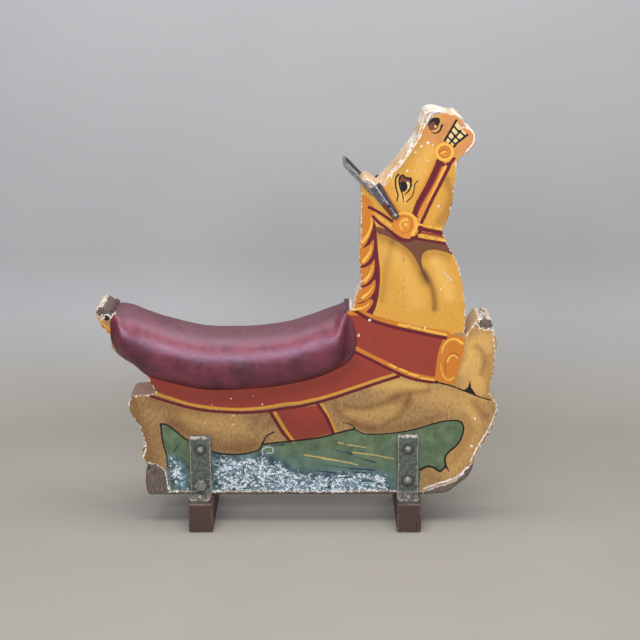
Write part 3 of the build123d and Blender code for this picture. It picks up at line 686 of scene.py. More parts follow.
# %% Worn places
WEAR = {
    "breast chip": (patch, "bare", [(479, 321), (484, 318.4), (491, 321), (492.6, 327), (485, 328.4),
        (478.6, 326)]),
    "breast chip edge": (line, "gesso", 1.4, [(478, 327), (485, 329.8), (493, 329)]),
    "muzzle primer": (patch, "primer", [(424, 128), (426, 116), (432, 107), (444, 104.6), (456, 106),
        (463, 113), (466, 121), (461, 120), (455, 114.6), (445, 113), (436, 115), (430, 120)]),
    "ear primer": (patch, "primer", [(359, 177), (365, 170), (375, 172), (382, 183), (378, 190),
        (368, 188)]),
    "chin primer": (line, "primer", 2, [(462, 119), (468, 125), (474, 132), (474, 141), (468, 151),
        (459, 158)], (1, 0.5)),
    "muzzle top": (line, "gesso", 2.4, [(428, 108.6), (440, 105), (452, 105.6), (460, 110)]),
    "nose edge": (line, "gesso", 1.3, [(425, 124), (419, 138), (413, 148), (406, 158), (399, 167),
        (390, 175), (381, 187)]),
    "muzzle ridge": (line, "gesso", 1.5, [(427, 121), (431, 114), (438, 111), (452, 112), (461, 117.6)]),
    "chin edge": (line, "gesso", 1.6, [(468, 127), (474, 134), (473, 143), (466, 152)]),
    "forehead edge": (line, "gesso", 1.7, [(384, 186), (393, 174.6), (402, 162), (410, 149),
        (416.6, 136)], (0.5, 0.7)),
    "throat edge": (line, "gesso", 1.4, [(456, 162), (456, 178), (454, 196), (451, 212), (448, 222)]),
    "thigh edge": (line, "gesso", 2.4, [(142, 430), (146, 447), (143, 460), (152, 468)], (0.3, 0.9)),
    "breast edge": (line, "gesso", 1.6, [(492, 330), (495, 350), (495, 372), (491, 388)], (0.5, 0.9)),
    "knee edge": (line, "gesso", 1.8, [(497, 408), (489, 428), (478, 446), (470, 462)], (0.6, 0.8)),
    "hind hoof": (patch, "bare", [(140, 468), (152, 464), (163, 470), (167, 482), (168, 500), (140, 500)]),
    "hoof scratch": (line, "gesso", 1.1, [(147, 470), (149.6, 480), (150, 491)], (0.9, 0.2)),
    "second hoof scratch": (line, "gesso", 1, [(156, 472), (158.6, 483)], (0.8, 0.3)),
    "hind hoof edge": (line, "gesso", 1.6, [(150, 466.4), (160, 468), (166, 477), (168, 488)], (0.5, 0.8)),
    "fore hoof edge": (line, "gesso", 3, [(424, 488.6), (436, 484), (450, 480), (460, 474.6),
        (468, 466.6)], (0.6, 0.8)),
    "fore hoof": (patch, "bare", [(422, 494), (434, 488), (447, 484.4), (458, 479), (466, 470), (473, 464),
        (480, 470), (466, 488), (446, 500), (424, 502)]),
    "fore hoof scratch": (line, "gesso", 1.4, [(434, 492), (446, 488.4), (458, 483)], (0.4, 0.6)),
    "board foot": (flat_patch, "bare", [(140, 490.6), (160, 491.2), (200, 492), (260, 491.4), (330, 492.2),
        (380, 491), (424, 492), (424, 510), (140, 510)]),
    "rump side": (flat_patch, "side_wood", [(122, 374), (152, 374), (152, 402), (122, 402)]),
    "under side": (flat_patch, "side_wood", [(120, 470), (140, 470), (150, 493.6), (440, 494), (440, 520),
        (120, 520)]),
    "nose side": (flat_patch, "side_white", [(418, 90), (470, 90), (470, 113), (434, 113), (424, 124),
        (412, 132)]),
    "crest side": (flat_patch, "side_white", [(340, 186), (366, 192), (366, 320), (340, 320)]),
    "tail end": (patch, "bare", [(97, 309), (104, 306), (111, 309), (112, 315), (104, 314), (98, 317)]),
    "tail orange": (line, "orange", 2.6, [(99, 322), (104, 328), (111, 334)]),
    "tail gold": (line, "gold", 2.4, [(97, 317), (102, 323), (110, 330)]),
    # No hole is cut here: the black dot paints the shade inside the tail's hole.
    "tail hole": (dots, "black", 2.8, [(106.6, 318)]),
    "tail hole rim": (line, "bare", 1.6, [(102.6, 318), (104, 314.4), (108, 313.6), (111, 317)]),
    "neck crack": (line, "crack", 0.5, [(403.2, 252), (403.4, 280), (402.8, 312)], (0.6, 0.8)),
    "cross crack": (line, "crack", 0.45, [(400, 283.6), (409, 283), (421, 282.4)], (0.8, 0.3)),
    "large chips": (dots, "gesso", 1.3, [(446.6, 275), (448.4, 277), (450.4, 279.4), (438.4, 206),
        (421.4, 146), (415.6, 152.4), (407, 170.6), (428, 143), (358.6, 335.2), (475, 418.6), (471.6, 446),
        (369.6, 320)]),
    "small chips": (dots, "gesso", 0.8, [(253, 396), (231, 398.6), (212, 404.6), (233.4, 416),
        (233.6, 424.4), (233.4, 432), (262, 404.6), (409.4, 325.6), (425, 328), (441, 289), (444.6, 272.6),
        (427.4, 160.6), (418, 160), (433, 145), (205, 423)]),
}
draw("wear", WEAR)
print("design:", len(DESIGN), "coats and", len(SOFT), "blends in all")

# %% [markdown]
# ## From outline to board
# Each board is a flat grid cut to its outline: cells with a corner inside are kept, and their outer corners
# slide to the nearest place on the outline. The same grid is mirrored for the far face, and rows of points
# between the two rims make the sawn edge. Close to an arris the face falls away, as worn wood does.

# %% Board surfaces: ripples and paint fields
# A corner closer to the outline than SNAP, as a share of the grid's step, slides onto it, and a cell that is
# squeezed to less than SLIVER of its area is left out.
SNAP, SLIVER = 0.25, 0.02
# Rows of points on the sawn edge, in mm from the face.
EDGE_ROWS = np.array([1.2, 3, 8, 20, 40])
# The longest distance in mm that a paint field tells.
FAR = 20.0
LAYERS = sorted({stroke[0] for stroke in DESIGN})
WAVE_ANGLES = np.array([0.4, 2.5, 4.3])
WAVE_RATES = np.array([1.0, 1.37, 0.71])
WAVE_STARTS = np.array([1, 2, 3])
WAVE_SUM = 2.2


def ripple(points, size, turn=0.0):
    """Smooth unevenness between about -1 and 1: the sum of three sines, each at its own angle, with about one
    wave in size mm; another turn gives another pattern."""
    points = np.asarray(points, float) * 2 * math.pi / size
    angles = turn + WAVE_ANGLES
    waves = np.stack([np.cos(angles), np.sin(angles)])
    phase = points @ waves * WAVE_RATES
    return np.sin(phase + turn * WAVE_STARTS).sum(1) / WAVE_SUM


def grid_quads(index):
    """Corner numbers of each cell of a grid of point numbers."""
    return np.stack([index[:-1, :-1], index[1:, :-1], index[1:, 1:], index[:-1, 1:]], -1).reshape(-1, 4)


def paint_fields(points):
    """For each layer, the distance to the nearest painted edge, minus inside; for each blend, its amount."""
    fields = {layer: np.full(len(points), FAR) for layer in LAYERS}
    for layer, half_width, tips, starts, ends, filled in DESIGN:
        corners = np.concatenate([starts, ends])
        reach = FAR + half_width
        near = ((points > corners.min(0) - reach) & (points < corners.max(0) + reach)).all(1)
        if not near.any():
            continue
        gap, _, along = nearest_on(points[near], starts, ends)
        if filled:
            gap = np.where(inside(points[near], starts, ends), -gap, gap)
        gap = gap - half_width * (tips[0] + (tips[1] - tips[0]) * along)
        fields[layer][near] = np.minimum(fields[layer][near], gap)
    for field, amount, width, curve in SOFT:
        gap, _, _ = nearest_on(points, curve[:-1], curve[1:])
        fields[field] = fields.get(field, 0) + amount * np.exp(-(gap / width) ** 2)
    return fields


# %% Board surfaces: rounding and rims
# The face falls away near an arris, over ROUND mm, more or less from place to place.
ROUND, ROUND_SWELL, ROUND_NICK, FALL = 4.2, 1.6, 0.9, 0.6
SWELL_LENGTH, NICK_LENGTH = 60, 17
# Under the front of the hide the edge is a quarter circle, so that no hard corner lifts the leather. This
# goes from one place along the horse to another, each with a ramp, near the level of the seat, all in mm.
SEAT_EASE, EASE_FROM, EASE_TO, EASE_IN, EASE_OUT, EASE_LEVEL, EASE_BAND = 26.0, 40, 112, 20, 8, 520, 60


def board_surface(loop, grid):
    """Points, faces and paint fields of one board, worked out on a grid cut to its outline. The grid's rows
    are closer together above a level, where the painting is finer."""
    ends = np.roll(loop, -1, axis=0)
    low, high = loop.min(0), loop.max(0)
    grid_step, low_step, high_step, level = grid
    level = np.clip(level, low[1], high[1])
    xs = np.linspace(low[0], high[0], round((high[0] - low[0]) / grid_step) + 1)
    zs = np.unique(np.concatenate([np.linspace(low[1], level, round((level - low[1]) / low_step) + 1),
                                   np.linspace(level, high[1], round((high[1] - level) / high_step) + 1)]))
    flat = np.stack(np.meshgrid(xs, zs, indexing="ij"), -1).reshape(-1, 2)
    gap, place, _ = nearest_on(flat, loop, ends)
    deep = inside(flat, loop, ends) & (gap > SNAP * grid_step)
    flat = np.where(deep[:, None], flat, place)
    quads = grid_quads(np.arange(len(flat)).reshape(len(xs), len(zs)))
    quads = quads[deep[quads].any(1)]
    across, upward = flat[quads[:, 2]] - flat[quads[:, 0]], flat[quads[:, 3]] - flat[quads[:, 1]]
    area = across[:, 0] * upward[:, 1] - across[:, 1] * upward[:, 0]
    quads = quads[area > SLIVER * grid_step ** 2]
    used, quads = np.unique(quads, return_inverse=True)
    flat, quads = flat[used], quads.reshape(-1, 4)

    count = len(flat)
    first, second = quads.ravel(), np.roll(quads, -1, axis=1).ravel()
    open_edge = ~np.isin(first * count + second, second * count + first)
    first, second = first[open_edge], second[open_edge]
    rim = np.unique(first)
    seat = np.searchsorted(rim, np.arange(count))

    arris, _, _ = nearest_on(flat, figure_edge[:, 0], figure_edge[:, 1])
    round_off = ROUND + ROUND_SWELL * ripple(flat, SWELL_LENGTH) + ROUND_NICK * ripple(flat, NICK_LENGTH, 1.0)
    fall = FALL * round_off * np.clip(1 - arris / round_off, 0, 1) ** 2
    eased = np.clip((flat[:, 0] - EASE_FROM) / EASE_IN, 0, 1)
    eased = eased * np.clip((EASE_TO - flat[:, 0]) / EASE_OUT, 0, 1)
    eased = eased * (np.abs(flat[:, 1] - EASE_LEVEL) < EASE_BAND)
    quarter = SEAT_EASE * (1 - np.sqrt(1 - np.clip(1 - arris / SEAT_EASE, 0, 1) ** 2))
    depth = HALF - np.maximum(fall, eased * quarter)
    offsets = np.concatenate([EDGE_ROWS, 2 * HALF - EDGE_ROWS[::-1]])
    depth_rows = [depth[rim] * (offset / HALF - 1) for offset in offsets]
    points = [np.stack([flat[:, 0], -depth, flat[:, 1]], 1), np.stack([flat[:, 0], depth, flat[:, 1]], 1)]
    points += [np.stack([flat[rim, 0], y, flat[rim, 1]], 1) for y in depth_rows]

    row_index = [np.arange(count)] + [2 * count + k * len(rim) + seat for k in range(len(offsets))]
    row_index += [np.arange(count) + count]
    faces = [quads, quads[:, ::-1] + count]
    faces += [np.stack([a[second], a[first], b[first], b[second]], 1)
              for a, b in zip(row_index, row_index[1:])]

    fields = paint_fields(flat)
    fields["arris"] = arris
    on_rim = {name: np.tile(values[rim], len(offsets)) for name, values in fields.items()}
    on_rim["arris"] = np.repeat(np.minimum(offsets, 2 * HALF - offsets), len(rim))
    fields = {name: np.concatenate([values, values, on_rim[name]]) for name, values in fields.items()}
    fields["side"] = np.concatenate([np.zeros(2 * count), np.ones(len(rim) * len(offsets))])
    return np.concatenate(points), np.concatenate(faces), fields


print("boards will carry", len(LAYERS), "layers of paint")

# %% [markdown]
# ## Oil paint on pine
# The finish is old oil colour over a white chalk ground, rubbed thin and varnished: firm edges that wander
# a little, a mottled body, chips that show white, and grey-brown pine where the ground is gone too. The
# material lays the coats in the painter's order and then wears them.

# %% Oil paint: patterns
# The coats that go on after the ground, in the painter's order.
COATS = {"straw": "#c2a868", "navy": "#2f3d50", "foam_line": "#b9c7c4", "umber": "#744a33", "mane": "#6c2430",
         "red": "#9a3f31", "orange": "#cf7d2e", "gold": "#d6983c", "amber": "#dd8c36", "maroon": "#6a2029",
         "rust": "#b3622a", "yellow": "#f2ba4e", "brown": "#7d4535", "cream": "#ecd08e", "black": "#231d1c"}
WANDER_MM = 1.1
# Each pattern has a size in mm, a detail and a stretch along X, Y and Z.
NOISES = {"wander": (6, 2, (1, 1, 1)), "mottle": (5.5, 7, (1, 1, 0.6)), "broad": (70, 3, (1, 1, 1)),
          "chip": (7, 6, (1, 1, 1)), "grain": (2.5, 5, (1, 1, 0.12)), "flake": (3.4, 4, (0.8, 1, 1)),
          "dab": (10, 5, (0.7, 1, 1)), "patchy": (26, 4, (1, 1, 1))}
paint, tree = new_material("oil_paint_on_pine")
where = add(tree, "TexCoord", out="Object")
noise = {}
for name, (size_mm, detail, stretch) in NOISES.items():
    spread = add(tree, "Mapping", {"Vector": where, "Scale": stretch})
    noise[name] = add(tree, "TexNoise", {"Vector": spread, "Scale": per_metre(size_mm), "Detail": detail,
                                         "Roughness": 0.6})
wander = add(tree, "MapRange", [noise["wander"], 0.2, 0.8, -WANDER_MM / 2, WANDER_MM / 2])


def coat(under, colour, layer, edge=0.45):
    """Lay a colour inside a layer's drawn edge: cover goes from 0 to 1 across it, in mm, as it wanders."""
    drawn = add(tree, "Attribute", out="Fac", attribute_name=layer)
    cover = add(tree, "MapRange", [add(tree, "Math", [drawn, wander]), edge, -edge, 0, 1])
    return add(tree, "Mix", {0: cover, 6: under, 7: colour}, **COLOURS)


def varied(dark, pale, pattern, start, end):
    """A colour that wavers between two, by one of the patterns."""
    share = add(tree, "MapRange", [noise[pattern], start, end, 0, 1])
    return add(tree, "Mix", {0: share, 6: dark, 7: pale}, **COLOURS)


def blended(under, colour, field, most):
    """Shade a colour in by a blended field, up to a share of it."""
    amount = add(tree, "Attribute", out="Fac", attribute_name=field)
    share = add(tree, "Math", [amount, most], operation="MULTIPLY")
    return add(tree, "Mix", {0: share, 6: under, 7: colour}, **COLOURS)


# %% Oil paint: the horse's colour and the ground
# The flecks of foam are drawn coarser than a brush leaves them, so that they show.
FLECK_MM, SWAY_MM = 5.4, 12
SHORE_MM = (-16, 18)
buff = varied("#83643f", "#bd965f", "mottle", 0.3, 0.68)
stain = add(tree, "MapRange", [noise["broad"], 0.5, 0.75, 0, 0.5])
buff = add(tree, "Mix", {0: stain, 6: buff, 7: "#7a5c40"}, **COLOURS)
ochre = varied("#d5993b", "#e3aa4a", "mottle", 0.3, 0.7)
colour = blended(buff, varied("#cb9852", "#e3b56c", "mottle", 0.3, 0.68), "fresh", 1.0)
colour = coat(colour, ochre, "neck", 2)
colour = blended(colour, "#f3c168", "light", 0.75)
colour = blended(colour, "#704628", "shade", 0.9)
colour = blended(colour, "#d48a58", "blush", 0.9)
grass = varied("#4d5f46", "#6f8262", "patchy", 0.3, 0.7)
colour = coat(colour, blended(grass, "#5c7d7e", "sea", 0.8), "green")
colour = coat(colour, varied("#31464a", "#69848d", "patchy", 0.38, 0.62), "water", 9)
shore = add(tree, "Attribute", out="Fac", attribute_name="water")
thin_out = add(tree, "MapRange", [shore, *SHORE_MM, 0, 0.5])
sway = add(tree, "Math", [noise["dab"], SWAY_MM * MM], operation="MULTIPLY")
swayed = add(tree, "VectorMath", [where, sway], operation="ADD")
shards = add(tree, "TexVoronoi", {"Vector": swayed, "Scale": per_metre(FLECK_MM)}, out="Color")
shard = add(tree, "SeparateXYZ", [shards])
flecks = add(tree, "Math", [shard, 0.35, noise["flake"]], operation="MULTIPLY_ADD")
for pattern, start, tint in ((noise["dab"], 0.53, "#7796a1"), (flecks, 0.715, "#e0e4e3")):
    thick = add(tree, "Math", [pattern, thin_out], operation="SUBTRACT")
    cover = add(tree, "MapRange", [thick, start, start + 0.025, 0, 1])
    colour = add(tree, "Mix", {0: cover, 6: colour, 7: tint}, **COLOURS)
print("oil paint: the horse and the ground")

# %% Oil paint: coats
for layer, code in COATS.items():
    colour = coat(colour, code, layer)
colour = coat(colour, varied("#8d7d72", "#cdc1b3", "chip", 0.35, 0.6), "primer", 1.2)
colour = coat(colour, "#4a3426", "crack", 0.3)
# Painted shadow under the saddle's roll, and the darker girth foot and grey ear, over all the coats.
colour = blended(colour, "#3b2824", "dusk", 0.5)
streaks = add(tree, "MapRange", [noise["grain"], 0.3, 0.7, 0.88, 1.06])
colour = add(tree, "Mix", {0: 1.0, 6: colour, 7: streaks}, **TINTS)
specks = add(tree, "MapRange", [noise["mottle"], 0.6, 0.72, 0, 0.4])
colour = add(tree, "Mix", {0: specks, 6: colour, 7: "#5d4433"}, **COLOURS)
print("oil paint:", len(COATS), "coats")

# %% Oil paint: sawn edges
sawn = varied("#bd9a70", "#dfc49c", "patchy", 0.35, 0.65)
sawn = coat(sawn, varied("#a27663", "#d2a58d", "grain", 0.35, 0.65), "side_wood", 1)
sawn = coat(sawn, varied("#cbb9a6", "#f2ead9", "patchy", 0.4, 0.6), "side_white", 1)
side = add(tree, "Attribute", out="Fac", attribute_name="side")
colour = add(tree, "Mix", {0: side, 6: colour, 7: sawn}, **COLOURS)
print("oil paint: sawn edges")


# %% Oil paint: chips and rubs
def worn_where(field, spread_mm, start, end):
    """Cover of a worn place: its distance field, made ragged by the chip pattern, falls from start to end."""
    drawn = add(tree, "Attribute", out="Fac", attribute_name=field)
    ragged = add(tree, "MapRange", [noise["chip"], 0.25, 0.75, -spread_mm, spread_mm])
    return add(tree, "MapRange", [add(tree, "Math", [drawn, ragged]), start, end, 0, 1])


RAGGED_MM = 5
chalk_covers = [worn_where("arris", RAGGED_MM, 1.9, 0.9), worn_where("gesso", 2.2, 0.5, -0.5),
                worn_where("bare", RAGGED_MM, 3.0, 1.8),
                add(tree, "MapRange", [noise["chip"], 0.735, 0.75, 0, 1])]
chalk_cover = chalk_covers[0]
for cover in chalk_covers[1:]:
    chalk_cover = add(tree, "Math", [chalk_cover, cover], operation="MAXIMUM")
wood_covers = [worn_where("arris", RAGGED_MM, -1.2, -2.2), worn_where("bare", RAGGED_MM, 0.6, -0.6)]
wood_cover = add(tree, "Math", wood_covers, operation="MAXIMUM")
chalk = varied("#cdbfae", "#f4eee2", "patchy", 0.35, 0.6)
wood = varied("#3a312d", "#877669", "grain", 0.32, 0.68)
colour = add(tree, "Mix", {0: chalk_cover, 6: colour, 7: chalk}, **COLOURS)
colour = add(tree, "Mix", {0: wood_cover, 6: colour, 7: wood}, **COLOURS)
worn = add(tree, "Math", [chalk_cover, wood_cover], operation="MAXIMUM")
sunk = add(tree, "Math", [worn, -0.5], operation="MULTIPLY")
height = add(tree, "Math", [noise["grain"], 0.35, sunk], operation="MULTIPLY_ADD")
bump = add(tree, "Bump", {"Height": height, "Strength": 0.5, "Distance": 0.6 * MM})
roughness = add(tree, "MapRange", [worn, 0, 1, 0.46, 0.78])
varnish = add(tree, "BsdfPrincipled", {"Base Color": colour, "Roughness": roughness, "Normal": bump,
                                       "IOR": 1.4, "Specular IOR Level": 0.35})
add(tree, "OutputMaterial", [varnish])
print("oil paint:", len(tree.nodes), "nodes")

# %% Dress the boards
SHARP = math.radians(55)
for name, grid in BOARD_GRID.items():
    points, faces, fields = board_surface(outlines[name], grid)
    board = make_piece("painted_" + name, points, faces, paint, fields, "painted_boards", [name])
    board.data.set_sharp_from_angle(angle=SHARP)
    print(board.name, len(points), "points,", len(faces), "faces")

# %% [markdown]
# ## The saddle
# The saddle is a hide pulled over stuffing and nailed to the boards, so its shape is a row of arches: each
# arch has a broad crown and a shorter arc that tucks back in to the board's face. At both ends there is no
# stuffing and the hide lies square on the board's edges. The sections are given at a few stations from tail
# to neck and joined by a smooth curve. A short cloth run then lets the stuffing push the hide out between
# its nails, which gives the slight unevenness that a drawn arch lacks.

# %% Saddle: sections
BOARD_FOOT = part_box("front_bearer")[1][2] / MM
# Each station, in mm: place along the horse, the hide's lower edge and crown above the boards' foot, how far
# the shoulder stands out from the board, and how far it lies below the crown.
STATIONS = [(-442, 392, 440, 2, 2), (-436, 377, 453, 5, 2.5), (-430, 364, 460, 9, 6),
            (-422, 355, 463, 12, 14), (-414, 346, 464, 14, 23), (-390, 330, 460, 16.5, 38),
            (-358, 303, 446, 17, 46), (-303, 285, 428, 20, 46), (-206, 267, 408, 21, 45),
            (-57, 276, 413, 21, 44), (40, 297, 440, 20, 46), (62, 306, 449, 19.5, 43),
            (80, 313, 456, 17, 37), (92, 320, 460, 13, 28), (100, 325, 462, 9, 17),
            (106, 328, 463, 6.5, 7), (112, 332, 463.5, 4.6, 2), (119, 338, 455, 3.4, 2),
            (124, 343, 446, 3, 2), (131, 355, 431, 3, 2), (137, 378, 398, 2.6, 2)]
LOW_AND_CROWN, OUT_AND_DROP = slice(1, 3), slice(3, 5)
LEAST_OUT, LEAST_DROP = 1, 2
FULL_DROP, STEEPENING = 38.0, 1.5
HIDE = 2.5
ALONG, ACROSS = 194, 73
# Passes of smoothing along the horse. The lower edge and the crown get more of them, but only between two
# places, because the hide's ends follow the boards.
SMOOTHING, CALM_SMOOTHING, CALM_FROM, CALM_TO = 14, 42, -330, 98


def tucked(start, turn, low):
    """Arc that leaves a place in a direction, turned down from level, and ends on the board's face:
    radius |c|^2 / (2 n.c), where c is the chord and n the inward normal. Gives its length and a function of
    the distance along it."""
    along = np.stack([np.cos(turn), -np.sin(turn)])
    inward = np.stack([-np.sin(turn), -np.cos(turn)])
    chord = np.stack([HALF + 0 * low, low]) - start
    sideways, forward = (inward * chord).sum(0), (along * chord).sum(0)
    radius = (chord ** 2).sum(0) / (2 * sideways)
    angle = 2 * np.arctan2(sideways, forward)

    def place(reach):
        return start + radius * (np.sin(reach / radius) * along + (1 - np.cos(reach / radius)) * inward)
    return radius * angle, place


def half_section(low, crown, out, drop, share):
    """Half a section, crown (share 0) to lower edge (1), in (Y, Z). The crown is a circle of radius
    (a^2 + s^2) / 2s through the shoulder, a out and s down. Where the drop s is full the side goes on from it
    without a corner; with less drop it turns down more steeply, until it goes straight down the board."""
    a = HALF + out
    radius = (a ** 2 + drop ** 2) / (2 * drop)
    turn = np.arctan2(a, radius - drop)
    steep = np.clip(1 - drop / FULL_DROP, 0, 1) ** STEEPENING
    length, place = tucked(np.stack([a, crown - drop]), turn + steep * (math.pi / 2 - turn), low)
    reach = share * (radius * turn + length)
    angle = np.minimum(reach / radius, turn)
    crown_part = np.stack([radius * np.sin(angle), crown - radius * (1 - np.cos(angle))])
    return np.where(reach < radius * turn, crown_part, place(np.maximum(reach - radius * turn, 0)))


curve = smooth_through(STATIONS)
rows = np.linspace(curve[0, 0], curve[-1, 0], ALONG)
stations = np.stack([np.interp(rows, curve[:, 0], column) for column in curve.T], 1)
calm = ((rows > CALM_FROM) & (rows < CALM_TO))[1:-1, None]
for passes, columns, chosen in ((SMOOTHING, OUT_AND_DROP, True), (CALM_SMOOTHING, LOW_AND_CROWN, calm)):
    for _ in range(passes):
        part = stations[:, columns]
        part[1:-1] = np.where(chosen, (part[:-2] + 2 * part[1:-1] + part[2:]) / 4, part[1:-1])
share = np.linspace(-1, 1, ACROSS)
x, low, crown, out, drop = (np.repeat(column[:, None], ACROSS, 1) for column in stations.T)
spread = np.repeat(share[None], len(stations), 0)
y, z = half_section(low, crown, np.maximum(out, LEAST_OUT), np.maximum(drop, LEAST_DROP), np.abs(spread))
hide_grid = np.stack([x, np.sign(spread) * y, z + BOARD_FOOT], -1)
hide_grid[:, 1:-1] = (hide_grid[:, :-2] + 2 * hide_grid[:, 1:-1] + hide_grid[:, 2:]) / 4
print("saddle:", hide_grid.shape[0], "sections of", hide_grid.shape[1], "points")

# %% Saddle: hide pushed out by its stuffing
SWELL_CAP, SWELL_FRAMES = 3.0, 14
NAILED_HEM, NAILED_ROWS = 0.02, 2
hem = 1 - np.abs(spread)
row = np.arange(len(stations))
from_end = np.minimum(row, row[::-1])[:, None] + 0 * spread
hide_faces = grid_quads(np.arange(hem.size).reshape(hem.shape))
pinned = np.flatnonzero(((hem < NAILED_HEM) | (from_end < NAILED_ROWS)).ravel())


def swell(points, faces, held):
    """Let pressure push a sheet out between its held points, by no more than the cap."""
    trial = make_piece("hide_trial", points, faces, paint)
    trial.vertex_groups.new(name="held").add(held.tolist(), 1.0, "REPLACE")
    cloth = trial.modifiers.new("cloth", "CLOTH").settings
    cloth.vertex_group_mass = "held"
    cloth.use_pressure = True
    cloth.uniform_pressure_force = 4
    cloth.effector_weights.gravity = 0
    cloth.tension_stiffness = cloth.compression_stiffness = 25
    cloth.bending_stiffness = 2
    for step in range(1, SWELL_FRAMES + 1):
        bpy.context.scene.frame_set(step)
    shown = trial.evaluated_get(bpy.context.evaluated_depsgraph_get()).data
    moved = np.empty(3 * len(points))
    shown.vertices.foreach_get("co", moved)
    bpy.context.scene.frame_set(1)
    bpy.data.objects.remove(trial)
    shift = moved.reshape(-1, 3) / MM - points
    length = np.linalg.norm(shift, axis=1, keepdims=True)
    return points + shift * np.minimum(1, SWELL_CAP / np.maximum(length, 1e-6))


hide_points = hide_grid.reshape(-1, 3)
hide_points = swell(hide_points, hide_faces, pinned)
print("saddle: moved up to", round(float(np.abs(hide_points - hide_grid.reshape(-1, 3)).max()), 2), "mm")

# %% Maroon hide
# Oiled leather has a soft, wide shine. On top it is dull and greyed, by dust where it is sat on and by a
# painted sheen; along the shoulder it is paler, partly rubbed and partly a painted sheen; and a narrow
# painted shade darkens the nailed hem. Its pebble is drawn coarser than real, so that it shows.
PEBBLE_MM, WRINKLE_MM, SCUFF_MM, CLOUD_MM = 1.6, 9, 16, 60
hide, tree = new_material("maroon_hide")
where = add(tree, "TexCoord", out="Object")
pebble = add(tree, "TexVoronoi", {"Vector": where, "Scale": per_metre(PEBBLE_MM)}, feature="SMOOTH_F1")
wrinkle = add(tree, "TexNoise", {"Vector": where, "Scale": per_metre(WRINKLE_MM), "Detail": 6.0})
cloud = add(tree, "TexNoise", {"Vector": where, "Scale": per_metre(CLOUD_MM), "Detail": 4.0})
# Where the hide faces up it turns greyer and duller: dust where it is sat on, and a painted sheen.
upright = add(tree, "Attribute", out="Fac", attribute_name="top")
rubbed = add(tree, "MapRange", [add(tree, "Math", [upright, cloud], operation="MULTIPLY"), 0.12, 0.5, 0, 1])
hem_shade_and_strip_tone = add(tree, "Attribute", out="Fac", attribute_name="edge")
scuffed = add(tree, "TexNoise", {"Vector": where, "Scale": per_metre(SCUFF_MM), "Detail": 5.0})
worked = add(tree, "MapRange", [cloud, 0.35, 0.65, 0, 1])
maroon = add(tree, "Mix", {0: worked, 6: "#49151f", 7: "#722a36"}, **COLOURS)
dust_and_sheen = add(tree, "Mix", {0: wrinkle, 6: "#572d31", 7: "#6e4346"}, **COLOURS)
skin_colour = add(tree, "Mix", {0: rubbed, 6: maroon, 7: dust_and_sheen}, **COLOURS)
# A paler band along the shoulder: rubbing, and a painted sheen.
shoulder = add(tree, "Attribute", out="Fac", attribute_name="shoulder")
skin_colour = add(tree, "Mix", {0: shoulder, 6: skin_colour, 7: "#913d43"}, **COLOURS)
crease = add(tree, "MapRange", [pebble, 0.2, 0.7, 1.06, 0.9])
skin_colour = add(tree, "Mix", {0: 1.0, 6: skin_colour, 7: crease}, **TINTS)
rubbing = add(tree, "MapRange", [scuffed, 0.35, 0.65, 0.84, 1.14])
skin_colour = add(tree, "Mix", {0: 1.0, 6: skin_colour, 7: rubbing}, **TINTS)
# A narrow painted shade along the hem, where the hide tucks in to the board; the strips take the same darker
# tone as their own colour.
skin_colour = add(tree, "Mix", {0: hem_shade_and_strip_tone, 6: skin_colour, 7: "#3a1a20"}, **COLOURS)
gloss = add(tree, "MapRange", [rubbed, 0, 1, 0.4, 0.62])
gloss = add(tree, "Math", [gloss, add(tree, "MapRange", [scuffed, 0.35, 0.65, -0.06, 0.06])])
relief = add(tree, "Math", [pebble, add(tree, "Math", [wrinkle, 1.5], operation="MULTIPLY")])
bump = add(tree, "Bump", {"Height": relief, "Strength": 0.35, "Distance": 0.6 * MM})
leather = add(tree, "BsdfPrincipled", {"Base Color": skin_colour, "Roughness": gloss, "Normal": bump,
                                       "Specular IOR Level": 1.0, "Specular Tint": "#e8def8"})
add(tree, "OutputMaterial", [leather])
print("hide:", len(tree.nodes), "nodes")

# %% Saddle: creases and the finished piece
# Heights and lengths in mm: lumps of the stuffing, puckers between the nails, gathers at the drawn-in ends.
# They fade over a share of the section at the hem and over some rows at the ends.
LUMP, LUMP_LENGTH, SMALL_LUMP, SMALL_LENGTH = 0.35, 110, 0.15, 37
PUCKER, PUCKER_LENGTH, PUCKER_HEM = 0.7, 15, 0.09
GATHER, GATHER_WAVES, GATHER_ROW, GATHER_ROWS = 0.25, 42, 9, 6.0
FLAT_HEM, FLAT_ROWS = 0.05, 4
spot = hide_points.reshape(hide_grid.shape)
outward = np.cross(np.gradient(spot, axis=0), np.gradient(spot, axis=1))
outward /= np.linalg.norm(outward, axis=2, keepdims=True)
outward *= np.sign(outward[len(stations) // 2, ACROSS // 2, 2])
flat_xz = hide_points[:, [0, 2]]
hem, from_end, from_crown = hem.ravel(), from_end.ravel(), np.abs(spread).ravel()
lumps = LUMP * ripple(flat_xz, LUMP_LENGTH) + SMALL_LUMP * ripple(flat_xz, SMALL_LENGTH, 2.0)
puckers = PUCKER * np.exp(-(hem / PUCKER_HEM) ** 2) * ripple(flat_xz, PUCKER_LENGTH, 0.7)
gathers = GATHER * np.exp(-((from_end - GATHER_ROW) / GATHER_ROWS) ** 2) * np.sin(from_crown * GATHER_WAVES)
shift = (lumps + puckers + gathers) * np.clip(hem / FLAT_HEM, 0, 1) * np.clip(from_end / FLAT_ROWS, 0, 1)
points = hide_points + outward.reshape(-1, 3) * shift[:, None]
tilt = outward[..., 2].ravel()
